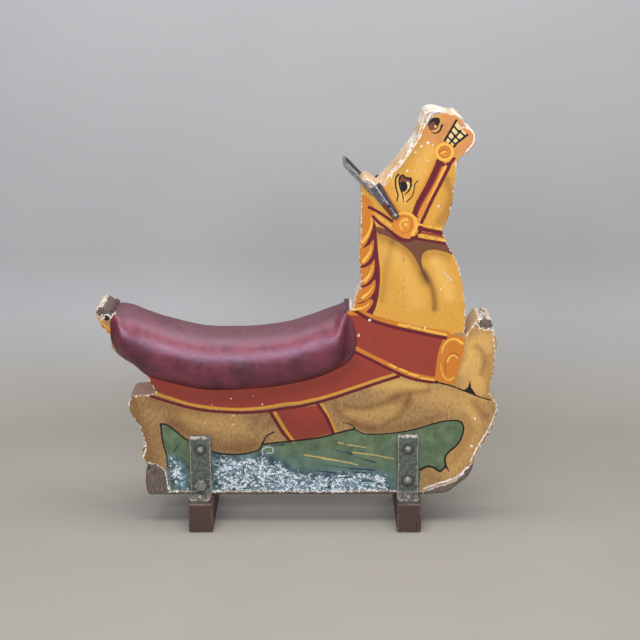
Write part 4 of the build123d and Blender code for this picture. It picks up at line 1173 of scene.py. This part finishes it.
# Fields by the tilt of the hide: top gives dust and a painted sheen, shoulder gives rubbing and a painted
# sheen, edge gives a painted shade at the hem.
fields = {"top": np.clip((tilt - 0.55) / 0.4, 0, 1), "edge": 0.8 * np.exp(-(hem / NAILED_HEM) ** 2),
          "shoulder": 0.5 * np.exp(-((tilt - 0.5) / 0.24) ** 2)}
saddle = make_piece("saddle_hide", points, hide_faces, hide, fields, "saddle_leather",
                    ["saddle_cover", "saddle_padding", "saddle_hems"])
wall = saddle.modifiers.new("hide_thickness", "SOLIDIFY")
wall.thickness = HIDE * MM
wall.offset = -1
print(saddle.name, len(points), "points")

# %% [markdown]
# ## Swept pieces
# Strips, bars, plates and straps are all one section carried along a line. One helper joins the sections
# into a closed shell, so each piece below only has to say what its section does on the way.


# %% Shell from sections
def shell(rings):
    """Closed shell over sections of equal count: two triangles between neighbours, and a fan over each end.
    The sum of p.(q x r) over the triangles is six times the volume; when negative, the faces are turned."""
    count, around = rings.shape[:2]
    index = np.arange(count * around).reshape(count, around)
    a, b = index[:-1], index[1:]
    c, d = np.roll(b, -1, axis=1), np.roll(a, -1, axis=1)
    faces = [np.stack(three, -1).reshape(-1, 3) for three in ((a, b, c), (a, c, d))]
    for middle, rim, way in ((count * around, index[0], 1), (count * around + 1, index[-1], -1)):
        faces.append(np.stack([np.full(around, middle), rim, np.roll(rim, -1)][::way], 1))
    faces = np.concatenate(faces)
    points = np.concatenate([rings.reshape(-1, 3), rings[[0, -1]].mean(1)])
    p, q, r = points[faces].transpose(1, 0, 2)
    return points, faces if (p * np.cross(q, r)).sum() > 0 else faces[:, ::-1]


def squared_circle(count, power):
    """Points of |u|^n + |v|^n = 1: a circle at power 2, nearly a square at high powers."""
    angle = np.arange(count) * 2 * math.pi / count + math.pi / count
    cos, sin = np.cos(angle), np.sin(angle)
    return np.stack([np.sign(cos) * np.abs(cos) ** (2 / power), np.sign(sin) * np.abs(sin) ** (2 / power)], 1)


def with_ends(values):
    """A field over a shell's sections, with 0 at the middles of its two ends."""
    return np.append(values, [0, 0])


# %% Saddle strips
# The two ways across a strip come from the CAD strip's points: the longer spread is its width.
STRIP_HALF_WIDTH, STRIP_HALF_THICK = 6.0, 1.25
STRIP_ROWS, STRIP_AROUND, STRIP_SQUARENESS = 45, 20, 4
WIDTH_WAVER, WIDTH_LENGTH = 0.35, 26
STRIP_LIFT, LIFT_WAVER, LIFT_LENGTH = 0.2, 0.4, 18
STRIP_TOP, STRIP_EDGE = 0.75, 0.4
for name in ("rear_saddle_strip", "front_saddle_strip"):
    cad = cad_points(name)
    middle = (cad.min(0) + cad.max(0)) / 2
    _, _, ways = np.linalg.svd((cad - cad.mean(0))[:, [0, 2]], full_matrices=False)
    width_way, thick_way = ways * np.sign(ways[:, 1:])
    rows = np.linspace(cad[:, 1].min(), cad[:, 1].max(), STRIP_ROWS)
    section = squared_circle(STRIP_AROUND, STRIP_SQUARENESS)
    width = STRIP_HALF_WIDTH + WIDTH_WAVER * ripple(np.stack([rows, 0 * rows + len(name)], 1), WIDTH_LENGTH)
    lift = STRIP_LIFT + LIFT_WAVER * ripple(np.stack([rows, 0 * rows], 1), LIFT_LENGTH, 1.0)
    sideways = section[:, 0] * width[:, None]
    upward = section[:, 1] * STRIP_HALF_THICK + lift[:, None]
    plane = sideways[..., None] * width_way + upward[..., None] * thick_way
    across = np.repeat(rows[:, None], STRIP_AROUND, 1)
    points, faces = shell(np.stack([plane[..., 0] + middle[0], across, plane[..., 1] + middle[2]], -1))
    fields = {"top": np.full(len(points), STRIP_TOP), "edge": np.full(len(points), STRIP_EDGE)}
    strip = make_piece("leather_" + name, points, faces, hide, fields, "saddle_leather", [name])
    print(strip.name, len(points), "points")

# %% [markdown]
# ## Iron
# Three kinds of iron are on the horse. The hand loop is bare and polished by hands, dark in its pits, with a
# painted highlight along its ridge and the top of its bar and painted shade on the sides turned away. The
# brackets carry flaking green-grey paint over rust, rubbed bright along the edges; the top bevel and the foot
# are paler too, partly rubbed and partly painted light, and a ring of painted shadow lies round each bolt.
# Bolts, nuts and screws were painted over with the brackets, in a paler grey.

# %% Iron materials
PIT_MM = 1.2


def iron(name, dark, pale, bright, metal, rough, flake_mm):
    """Iron in two mottled tones, bright where worn and along painted highlights, near black where sooty and
    in painted shade, red where paint smeared it.
    """
    made, tree = new_material(name)
    where = add(tree, "TexCoord", out="Object")
    flake = add(tree, "TexNoise", {"Vector": where, "Scale": per_metre(flake_mm), "Detail": 7.0,
                                   "Roughness": 0.65})
    fine = add(tree, "TexNoise", {"Vector": where, "Scale": per_metre(PIT_MM), "Detail": 3.0})
    patches = add(tree, "MapRange", [flake, 0.44, 0.56, 0, 1])
    tone = add(tree, "Mix", {0: patches, 6: dark, 7: pale}, **COLOURS)
    # The worn field brightens: real wear on the brackets' edges, partly painted light on their bevel and
    # foot, and a painted highlight on the hand loop's ridge and bar.
    worn = add(tree, "Attribute", out="Fac", attribute_name="worn")
    ragged = add(tree, "Math", [worn, add(tree, "MapRange", [flake, 0.3, 0.7, -0.35, 0.35])])
    rubbed = add(tree, "MapRange", [ragged, 0.45, 0.62, 0, 1])
    tone = add(tree, "Mix", {0: rubbed, 6: tone, 7: bright}, **COLOURS)
    # Of the two fields below, the first darkens: patches of soot, and painted shade on the loop's sides
    # turned from the light, in its hole and in a ring round each bracket bolt. The second is red paint and
    # rust.
    for field, tint in (("soot_and_shade", "#2a2a30"), ("smear", "#7f3a30")):
        amount = add(tree, "Attribute", out="Fac", attribute_name=field)
        torn = add(tree, "Math", [amount, add(tree, "MapRange", [flake, 0.3, 0.7, -0.3, 0.3])])
        cover = add(tree, "MapRange", [torn, 0.4, 0.6, 0, 0.85])
        tone = add(tree, "Mix", {0: cover, 6: tone, 7: tint}, **COLOURS)
    grime_and_shade = add(tree, "MapRange", [fine, 0.3, 0.7, 0.82, 1.1])
    tone = add(tree, "Mix", {0: 1.0, 6: tone, 7: grime_and_shade}, **TINTS)
    pits = add(tree, "Math", [fine, 0.5, flake], operation="MULTIPLY_ADD")
    bump = add(tree, "Bump", {"Height": pits, "Strength": 0.6, "Distance": 0.7 * MM})
    shine = add(tree, "MapRange", [rubbed, 0, 1, rough, rough - 0.15])
    face = add(tree, "BsdfPrincipled", {"Base Color": tone, "Metallic": metal, "Roughness": shine,
                                        "Normal": bump})
    add(tree, "OutputMaterial", [face])
    return made


# Grey bar iron shines on its ridges, where a highlight is also painted. Old bracket paint is dull, in patches
# of two greens. The fasteners under the same paint are a paler grey, the screws in the head are plain dulled
# steel, and the tacks are nearly black with a small light on each dome.
forged = iron("hand_polished_iron", "#69636a", "#969092", "#e2dcda", 0.4, 0.34, 12)
flaking = iron("flaking_painted_iron", "#4b4e47", "#636d61", "#aea49b", 0.1, 0.52, 8)
painted_over = iron("painted_over_fasteners", "#77736c", "#96918a", "#c9c0b6", 0.3, 0.36, 7)
steel = iron("dulled_steel_fasteners", "#6a625d", "#938e8a", "#d0c9c4", 0.6, 0.38, 5)
tack_iron = iron("darkened_tacks", "#3a2f2e", "#66524f", "#ab9590", 0.6, 0.38, 3)
print("iron: five finishes")

# %% [markdown]
# ### Hand loop
# The bar is round stock bent to a U, so it is a circle carried round a filleted path in one slanting plane.
# Each plate is a tapering bar with a ridge off its middle, drawn as a height over its outline, with the
# empty screw hole pressed in as a pit.

# %% Hand loop: bar
BAR_RADIUS, BEND_RADIUS, BAR_OUT = 4.5, 14.0, 60.5
LOOP_ROOT, LOOP_CORNER = np.array([172, BOARD_FOOT + 741]), np.array([108, BOARD_FOOT + 807])
LEG_STEPS, BEND_STEPS, BAR_AROUND = 16, 13, 20
BAR_WAVER, BAR_WAVE_LENGTH, ROOT_THINNING, ROOT_LENGTH = 0.03, 40, 0.1, 25
run = np.linalg.norm(LOOP_CORNER - LOOP_ROOT)
up_way = (LOOP_CORNER - LOOP_ROOT) / run
turn = np.linspace(0, math.pi / 2, BEND_STEPS)[:, None]
straight = np.linspace(0, 1, LEG_STEPS)[:, None]
leg = np.hstack([straight * (run - BEND_RADIUS), 0 * straight - BAR_OUT])
bend_middle = np.array([run - BEND_RADIUS, BEND_RADIUS - BAR_OUT])
bend_line = bend_middle + BEND_RADIUS * np.hstack([np.sin(turn), -np.cos(turn)])
half_path = np.vstack([leg[:-1], bend_line, [[run, -BAR_OUT / 3]]])
path = np.vstack([half_path, (half_path * [1, -1])[::-1]])
heading = np.gradient(path, axis=0)
heading /= np.linalg.norm(heading, axis=1, keepdims=True)
thinned = ROOT_THINNING * np.exp(-(path[:, 0] / ROOT_LENGTH) ** 2)
radius = BAR_RADIUS * (1 + BAR_WAVER * ripple(path, BAR_WAVE_LENGTH) - thinned)
angle = np.arange(BAR_AROUND) * 2 * math.pi / BAR_AROUND
sideways = np.stack([-heading[:, 1], heading[:, 0]], 1)
flat_ring = path[:, None] + radius[:, None, None] * np.cos(angle)[:, None] * sideways[:, None]
above = radius[:, None] * np.sin(angle)
bar_points, bar_faces = shell(np.stack([
    LOOP_ROOT[0] + flat_ring[..., 0] * up_way[0] - above * up_way[1], flat_ring[..., 1],
    LOOP_ROOT[1] + flat_ring[..., 0] * up_way[1] + above * up_way[0]], -1))
print("bar:", len(path), "sections")

# %% Hand loop: plates
PLATE_HEAD, PLATE_TIP = np.array([177, BOARD_FOOT + 756]), np.array([224, BOARD_FOOT + 690])
HEAD_HALF_WIDTH, TIP_RADIUS, PLATE_START = 15.0, 9.0, -3.0
SPARE_HOLE, HOLE_RADIUS, HOLE_RIM, HOLE_FLOOR = np.array([210, BOARD_FOOT + 712]), 3.0, 0.4, 0.3
PLATE_ROWS, TIP_ROWS, PLATE_COLUMNS = 80, 12, 53
# Across the plate: the share of its half width, and the height in mm there.
RIDGE_AT = [-1, -1, -0.96, -0.85, -0.45, -0.2, 0.1, 0.24, 0.34, 0.6, 0.9, 0.97, 1, 1]
RIDGE_HEIGHT = [0, 3.6, 4.6, 5.2, 6.6, 7.6, 8, 8, 7.4, 6.2, 4.8, 4.2, 3.4, 0]
HAMMERING, HAMMER_LENGTH, HAMMERED_ABOVE = 0.25, 14, 3
tip_at = np.linalg.norm(PLATE_TIP - PLATE_HEAD)
long_way = (PLATE_TIP - PLATE_HEAD) / tip_at
cross_way = np.array([-long_way[1], long_way[0]])
tip_turn = np.linspace(0.1, math.pi / 2 - 0.05, TIP_ROWS)
s = np.concatenate([np.linspace(PLATE_START, tip_at, PLATE_ROWS), tip_at + TIP_RADIUS * np.sin(tip_turn)])
taper = HEAD_HALF_WIDTH + (s - PLATE_START) * (TIP_RADIUS - HEAD_HALF_WIDTH) / (tip_at - PLATE_START)
half_width = np.where(s < tip_at, taper, np.sqrt(np.maximum(TIP_RADIUS ** 2 - (s - tip_at) ** 2, 0.5)))
columns = np.linspace(0, len(RIDGE_AT) - 1, PLATE_COLUMNS)
t_share = np.interp(columns, range(len(RIDGE_AT)), RIDGE_AT)
ridge = np.interp(columns, range(len(RIDGE_AT)), RIDGE_HEIGHT)
t = half_width[:, None] * t_share
spots = PLATE_HEAD + s[:, None, None] * long_way + t[..., None] * cross_way
hammered = HAMMERING * ripple(spots.reshape(-1, 2), HAMMER_LENGTH).reshape(t.shape)
hole_gap = np.linalg.norm(spots - SPARE_HOLE, axis=2)
pit = np.clip((HOLE_RADIUS + HOLE_RIM - hole_gap) / (2 * HOLE_RIM), 0, 1)
height = (ridge + hammered * (ridge > HAMMERED_ABOVE)) * (1 - pit) + HOLE_FLOOR * pit
print("plate:", t.shape, "points")

# %% Hand loop: wear and the finished piece
# A painted highlight runs along the ridge and the top of the bar. Painted shade lies beside the ridge, on
# the side turned away, in the hole and under the bar, over patches of soot on all of it, and strap paint has
# run onto the lower half of the plate.
LOOP_SHARP = math.radians(40)
plate_highlight = (np.exp(-((t_share - 0.2) / 0.1) ** 2) + 0 * t) * 0.8 * (1 - pit) - 0.6 * pit
plate_soot_and_shade = np.maximum(0.42 + 0.38 * np.clip((t_share - 0.28) / 0.1, 0, 1), pit) * (plate_highlight < 0.35)
plate_smear = np.clip((s - 0.4 * tip_at) / 20, 0, 0.9)[:, None] * np.clip((0.1 - t_share) / 0.2, 0, 1)
bar_highlight = np.tile(0.3 + 0.45 * np.maximum(np.sin(angle), 0), len(path))
bar_soot_and_shade = np.tile(0.42 + 0.4 * np.maximum(-np.sin(angle - 0.6), 0), len(path))
fields = {"worn": [bar_highlight, plate_highlight, plate_highlight], "soot_and_shade": [bar_soot_and_shade, plate_soot_and_shade, plate_soot_and_shade],
          "smear": [0 * bar_highlight, plate_smear, plate_smear]}
fields = {field: np.concatenate([with_ends(values) for values in parts]) for field, parts in fields.items()}
pieces = [(bar_points, bar_faces)]
pieces += [shell(np.stack([spots[..., 0], side * (HALF + height), spots[..., 1]], -1)) for side in (-1, 1)]
starts = np.cumsum([0] + [len(points) for points, _ in pieces])
loop_points = np.concatenate([points for points, _ in pieces])
loop_faces = np.concatenate([faces + start for (_, faces), start in zip(pieces, starts)])
loop = make_piece("hand_loop_iron", loop_points, loop_faces, forged, fields, "forged_iron", ["hand_loop"])
loop.data.set_sharp_from_angle(angle=LOOP_SHARP)
print(loop.name, len(loop_points), "points")

# %% [markdown]
# ### Brackets
# Each bracket is one strap bent to an L. Its back line lies on the board and then on the bearer; its front
# line runs a strap's thickness away, with a bevel at the top and a round in the bend. Rows between the two
# lines, each a rectangle with rounded front corners, make the strap.

# %% Bracket lines and sections
STRAP, TOP_LAND, BEND, TOE_CORNER, TOP_CORNER, FRONT_ROUND = 10.0, 3.0, 6.0, 8.0, 6.0, 2.8
BEVEL = STRAP - TOP_LAND
BEVEL_DROPS = (0.6, 2, 4, 6, 7.5)
LAND_SHARES = (0.018, 0.9)
UPRIGHT_ROWS, BEND_ROWS, FOOT_ROWS, TOE_ROWS = 28, 9, 9, 8
BEVEL_CURVE, TOE_BEVEL, TOE_BEVEL_LENGTH = 0.9, 0.9, 2
CORNER_STEPS, FACE_STEPS = 5, 11
BACK_RUB, FACE_RUB, EDGE_RUB, EDGE_RUB_MORE = 0.1, 0.2, 0.36, 0.4


def strap_rows(top, foot_end):
    """Back and front lines of a bracket, as rows of (out, height) pairs from its top to its toe."""
    bend_end = STRAP + BEND
    rows = [((0, top), (share * TOP_LAND, top)) for share in LAND_SHARES]
    rows += [((0, top - drop), (TOP_LAND + BEVEL * min(drop / BEVEL, 1) ** BEVEL_CURVE, top - drop))
             for drop in BEVEL_DROPS]
    rows += [((0, level), (STRAP, level)) for level in np.linspace(top - STRAP, bend_end + 1, UPRIGHT_ROWS)]
    for share in np.linspace(0, 1, BEND_ROWS):
        turn = share * math.pi / 2
        front = (STRAP + BEND * (1 - math.cos(turn)), STRAP + BEND * (1 - math.sin(turn)))
        reach = bend_end * (1 - abs(2 * share - 1))
        back = (0, bend_end - reach) if share <= 0.5 else (bend_end - reach, 0)
        rows.append((back, front))
    rows += [((out, 0), (out, STRAP)) for out in np.linspace(bend_end + 1, foot_end - TOE_CORNER, FOOT_ROWS)]
    toe = foot_end - TOE_CORNER + TOE_CORNER * np.sin(np.linspace(0.2, math.pi / 2, TOE_ROWS))
    rows += [((out, 0), (out, STRAP - TOE_BEVEL * max(0, out - foot_end + TOE_BEVEL_LENGTH))) for out in toe]
    return np.array(rows)


def strap_section(half_width, thick):
    """Rectangle with rounded front corners: (across, share of the thickness from back to front, worn)."""
    curl = np.linspace(0, math.pi / 2, CORNER_STEPS)
    corner = min(FRONT_ROUND, thick / 2)
    flat = half_width - corner
    right = np.stack([flat + corner * np.cos(curl), thick - corner + corner * np.sin(curl)], 1)
    middle = np.stack([np.linspace(flat, -flat, FACE_STEPS + 2)[1:-1], np.full(FACE_STEPS, thick)], 1)
    outline = np.vstack([[(-half_width, 0), (half_width, 0)], right, middle, (right * [-1, 1])[::-1]])
    edge = EDGE_RUB + EDGE_RUB_MORE * np.sin(2 * curl)
    rubbed = np.concatenate([[BACK_RUB, BACK_RUB], edge, np.full(FACE_STEPS, FACE_RUB), edge])
    return np.column_stack([outline[:, 0], outline[:, 1] / thick, rubbed])


print("bracket: sections of", len(strap_section(STRAP, STRAP)), "points")

# %% Brackets
# How much narrower each strap is at half its height, in mm: none was forged quite straight.
WAISTS = {"rear_near_bracket": 0.3, "rear_far_bracket": 0.4, "front_near_bracket": 1.8,
          "front_far_bracket": 0.6}
BRACKET_BOLTS = ("upper_bracket_bolts", "front_lower_bolt", "rear_lower_bolt")
LEAST_THICK, TOP_NARROWING = 0.4, 0.8
# The top bevel and the foot face upwards and are paler, partly rubbed and partly painted light.
BEVEL_RUB_AND_LIGHT, FOOT_RUB_AND_LIGHT = 0.6, 0.48
SIDE_WAVER, SIDE_LENGTH, FACE_WAVER, FACE_LENGTH, BACK_LEFT_FLAT = 0.45, 37, 0.25, 23, 3
# A ring of painted shadow round each bolt head: its radius and width in mm and its darkness; then rust
# towards the foot.
BOLT_SHADOW_RING, BOLT_SHADOW_WIDTH, BOLT_SHADOW, FOOT_RUST = 12.5, 4, 0.75, 0.38
STRAP_SHARP = math.radians(50)
for name, waist in WAISTS.items():
    low, high = np.array(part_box(name)) / MM
    side = math.copysign(1, low[1] + high[1])
    half, middle = (high[0] - low[0]) / 2, (high[0] + low[0]) / 2
    strap_top, foot_end = high[2] - BOARD_FOOT, max(abs(low[1]), abs(high[1])) - HALF
    rings, rubs_and_light = [], []
    for back, front in strap_rows(strap_top, foot_end):
        beyond = max(0, back[0] - foot_end + TOE_CORNER)
        width = half - TOE_CORNER + math.sqrt(max(TOE_CORNER ** 2 - beyond ** 2, 0))
        above = max(0, back[1] - strap_top + TOP_CORNER)
        width -= TOP_NARROWING * (TOP_CORNER - math.sqrt(TOP_CORNER ** 2 - above ** 2))
        width -= waist * math.sin(math.pi * np.clip(back[1] / strap_top, 0, 1)) ** 2
        section = strap_section(width, max(np.linalg.norm(front - back), LEAST_THICK))
        place = back + section[:, 1:2] * (front - back)
        rings.append(np.column_stack([middle + section[:, 0], side * (HALF + place[:, 0]),
                                      BOARD_FOOT + place[:, 1]]))
        on_bevel = BEVEL > strap_top - back[1] > 1
        on_foot = back[0] > STRAP + BEND
        rubs_and_light.append(np.maximum(section[:, 2], (BEVEL_RUB_AND_LIGHT * on_bevel + FOOT_RUB_AND_LIGHT * on_foot) * section[:, 1]))
    points, faces = shell(np.array(rings))
    points[:, 0] += SIDE_WAVER * ripple(points[:, 1:], SIDE_LENGTH, middle)
    in_front = np.abs(points[:, 1]) > HALF + BACK_LEFT_FLAT
    points[:, 1] += side * FACE_WAVER * ripple(points[:, [0, 2]], FACE_LENGTH) * in_front
    # Painted shadow in a ring round each bolt head on the strap.
    grime_and_shade = np.zeros(len(points))
    for bolts in BRACKET_BOLTS:
        here = cad_points(bolts)
        here = here[np.abs(here[:, 0] - middle) < half]
        if len(here):
            centre = (here.min(0) + here.max(0)) / 2
            gap = np.linalg.norm((points - centre)[:, [0, 2]], axis=1)
            grime_and_shade = np.maximum(grime_and_shade, BOLT_SHADOW * np.exp(-((gap - BOLT_SHADOW_RING) / BOLT_SHADOW_WIDTH) ** 2))
    rust = FOOT_RUST * np.clip((np.abs(points[:, 1]) - HALF - STRAP) / BEND, 0, 1)
    fields = {"worn": with_ends(np.concatenate(rubs_and_light)), "soot_and_shade": grime_and_shade, "smear": rust}
    strap = make_piece("strap_" + name, points, faces, flaking, fields, "painted_iron", [name])
    strap.data.set_sharp_from_angle(angle=STRAP_SHARP)
    print(strap.name, len(points), "points")

# %% [markdown]
# ## Bearers
# The bearers are short lengths of stained timber with rounded arrises and dark end grain. A block's points
# are drawn in to a smaller block and pushed out again by the rounding radius, which rounds every edge at
# once.

# %% Bearer wood
# Stained softwood is dark brown with streaks along the fibre, paler where boots have rubbed its edges, and
# shows its rings where it is cut. The fibre is drawn coarser than real, so that it shows.
RING_GAP, RING_WOBBLE = 7.0, 7.0
FIBRE_MM, FIBRE_STRETCH, BLOT_MM = 3, 0.07, 30
timber, tree = new_material("stained_bearer_wood")
where = add(tree, "TexCoord", out="Object")
stretched = add(tree, "Mapping", {"Vector": where, "Scale": (1.0, FIBRE_STRETCH, 1.0)})
fibre = add(tree, "TexNoise", {"Vector": stretched, "Scale": per_metre(FIBRE_MM), "Detail": 6.0})
drawn = add(tree, "TexNoise", {"Vector": where, "Scale": per_metre(BLOT_MM), "Detail": 3.0})
from_pith = add(tree, "Attribute", out="Fac", attribute_name="pith")
wobble = add(tree, "Math", [drawn, RING_WOBBLE, from_pith], operation="MULTIPLY_ADD")
ring_turn = add(tree, "Math", [wobble, 2 * math.pi / RING_GAP], operation="MULTIPLY")
growth = add(tree, "MapRange", [add(tree, "Math", [ring_turn], operation="SINE"), -1, 1, 0, 1])
weathered = add(tree, "MapRange", [fibre, 0.35, 0.65, 0, 1])
stain = add(tree, "Mix", {0: weathered, 6: "#35241f", 7: "#5d4238"}, **COLOURS)
end_grain = add(tree, "Mix", {0: growth, 6: "#37251f", 7: "#58423a"}, **COLOURS)
cut_end = add(tree, "Attribute", out="Fac", attribute_name="cut_end")
stain = add(tree, "Mix", {0: cut_end, 6: stain, 7: end_grain}, **COLOURS)
arris = add(tree, "Attribute", out="Fac", attribute_name="worn")
ragged = add(tree, "Math", [arris, add(tree, "MapRange", [drawn, 0.3, 0.7, -0.4, 0.4])])
rubbed = add(tree, "MapRange", [ragged, 0.5, 0.9, 0, 0.85])
stain = add(tree, "Mix", {0: rubbed, 6: stain, 7: "#75594c"}, **COLOURS)
bump = add(tree, "Bump", {"Height": fibre, "Strength": 0.5, "Distance": 0.6 * MM})
wood_face = add(tree, "BsdfPrincipled", {"Base Color": stain, "Roughness": 0.68, "Normal": bump})
add(tree, "OutputMaterial", [wood_face])
print("bearer wood:", len(tree.nodes), "nodes")

# %% Bearers
ARRIS_RADIUS, BEARER_GRID, ARRIS_WEAR = 4.0, 3.0, 4
# Where the tree's middle lies from each bearer's lower rear corner, in mm.
PITH = np.array([-18.0, 12.0])
CUT_END, DENT, DENT_LENGTH, DENT_REACH = 1.5, 0.5, 21, 40
DENT_WAYS = (1, 0.3, 1)


def rounded_block(low, high, radius, step):
    """A box's six gridded faces, pulled in to the box shrunk by the radius and pushed out by the radius:
    q = clip(p, low + r, high - r), p' = q + r (p - q) / |p - q|. Gives points, faces and edge wear."""
    points, faces, start = [], [], 0
    for axis in range(3):
        for end_value in (low[axis], high[axis]):
            others = [k for k in range(3) if k != axis]
            lines = [np.linspace(low[k], high[k], int((high[k] - low[k]) / step) + 1) for k in others]
            grid = np.empty((len(lines[0]), len(lines[1]), 3))
            grid[..., axis] = end_value
            grid[..., others[0]], grid[..., others[1]] = np.meshgrid(*lines, indexing="ij")
            quads = grid_quads(np.arange(grid.size // 3).reshape(grid.shape[:2]) + start)
            turned = (end_value == high[axis]) == (axis == 1)
            points.append(grid.reshape(-1, 3))
            faces.append(quads[:, ::-1] if turned else quads)
            start += grid.size // 3
    points, faces = np.concatenate(points), np.concatenate(faces)
    _, kept, same = np.unique(np.round(points, 3), axis=0, return_index=True, return_inverse=True)
    points, faces = points[kept], same.ravel()[faces]
    core = np.clip(points, low + radius, high - radius)
    away = points - core
    length = np.linalg.norm(away, axis=1, keepdims=True)
    edge_gap = np.sort(np.minimum(points - low, high - points), axis=1)[:, 1]
    return core + radius * away / np.maximum(length, 1e-6), faces, np.exp(-(edge_gap / ARRIS_WEAR) ** 2)


for name in ("rear_bearer", "front_bearer"):
    low, high = np.array(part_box(name)) / MM
    points, faces, wear = rounded_block(low, high, ARRIS_RADIUS, BEARER_GRID)
    cut_end = (np.minimum(points[:, 1] - low[1], high[1] - points[:, 1]) < CUT_END).astype(float)
    pith = np.linalg.norm(points[:, [0, 2]] - low[[0, 2]] - PITH, axis=1)
    dents = DENT * wear * (1 + ripple(points[:, :2] + points[:, 2:], DENT_LENGTH))
    points = points - (points - (low + high) / 2) * DENT_WAYS * (dents / DENT_REACH)[:, None]
    fields = {"worn": wear, "cut_end": cut_end, "pith": pith}
    bearer = make_piece("timber_" + name, points, faces, timber, fields, "bearer_wood", [name])
    print(bearer.name, len(points), "points")

# %% [markdown]
# ## Fasteners
# Bolts, nuts, washers, screws and tacks have the right shape in the CAD frame, so they only get a finish.
# The dowels are hidden in the joints and get plain beech.

# %% Fasteners and dowels
# Beech is pale and even, with short darker flecks along the fibre.
FLECK_STRETCH, BEECH_FLECK_MM = 0.1, 2
beech, tree = new_material("plain_beech")
where = add(tree, "TexCoord", out="Object")
lengthwise = add(tree, "Mapping", {"Vector": where, "Scale": (FLECK_STRETCH, 1.0, 1.0)})
fleck = add(tree, "TexNoise", {"Vector": lengthwise, "Scale": per_metre(BEECH_FLECK_MM), "Detail": 4.0})
tone = add(tree, "Mix", {0: fleck, 6: "#b88f62", 7: "#d4b088"}, **COLOURS)
rod = add(tree, "BsdfPrincipled", {"Base Color": tone, "Roughness": 0.6})
add(tree, "OutputMaterial", [rod])
FINISHES = [(painted_over, [*BRACKET_BOLTS, "heavy_nut", "bolt_washers", "bolt_nuts", "foot_screws"]),
            (steel, ["hand_loop_bolt", "hand_loop_nut", "hand_loop_screws"]),
            (tack_iron, ["saddle_tacks"]), (beech, ["board_dowels"])]
for finish, names in FINISHES:
    for name in names:
        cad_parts[name].material_slots[0].material = finish
    print(finish.name, "on", ", ".join(names))
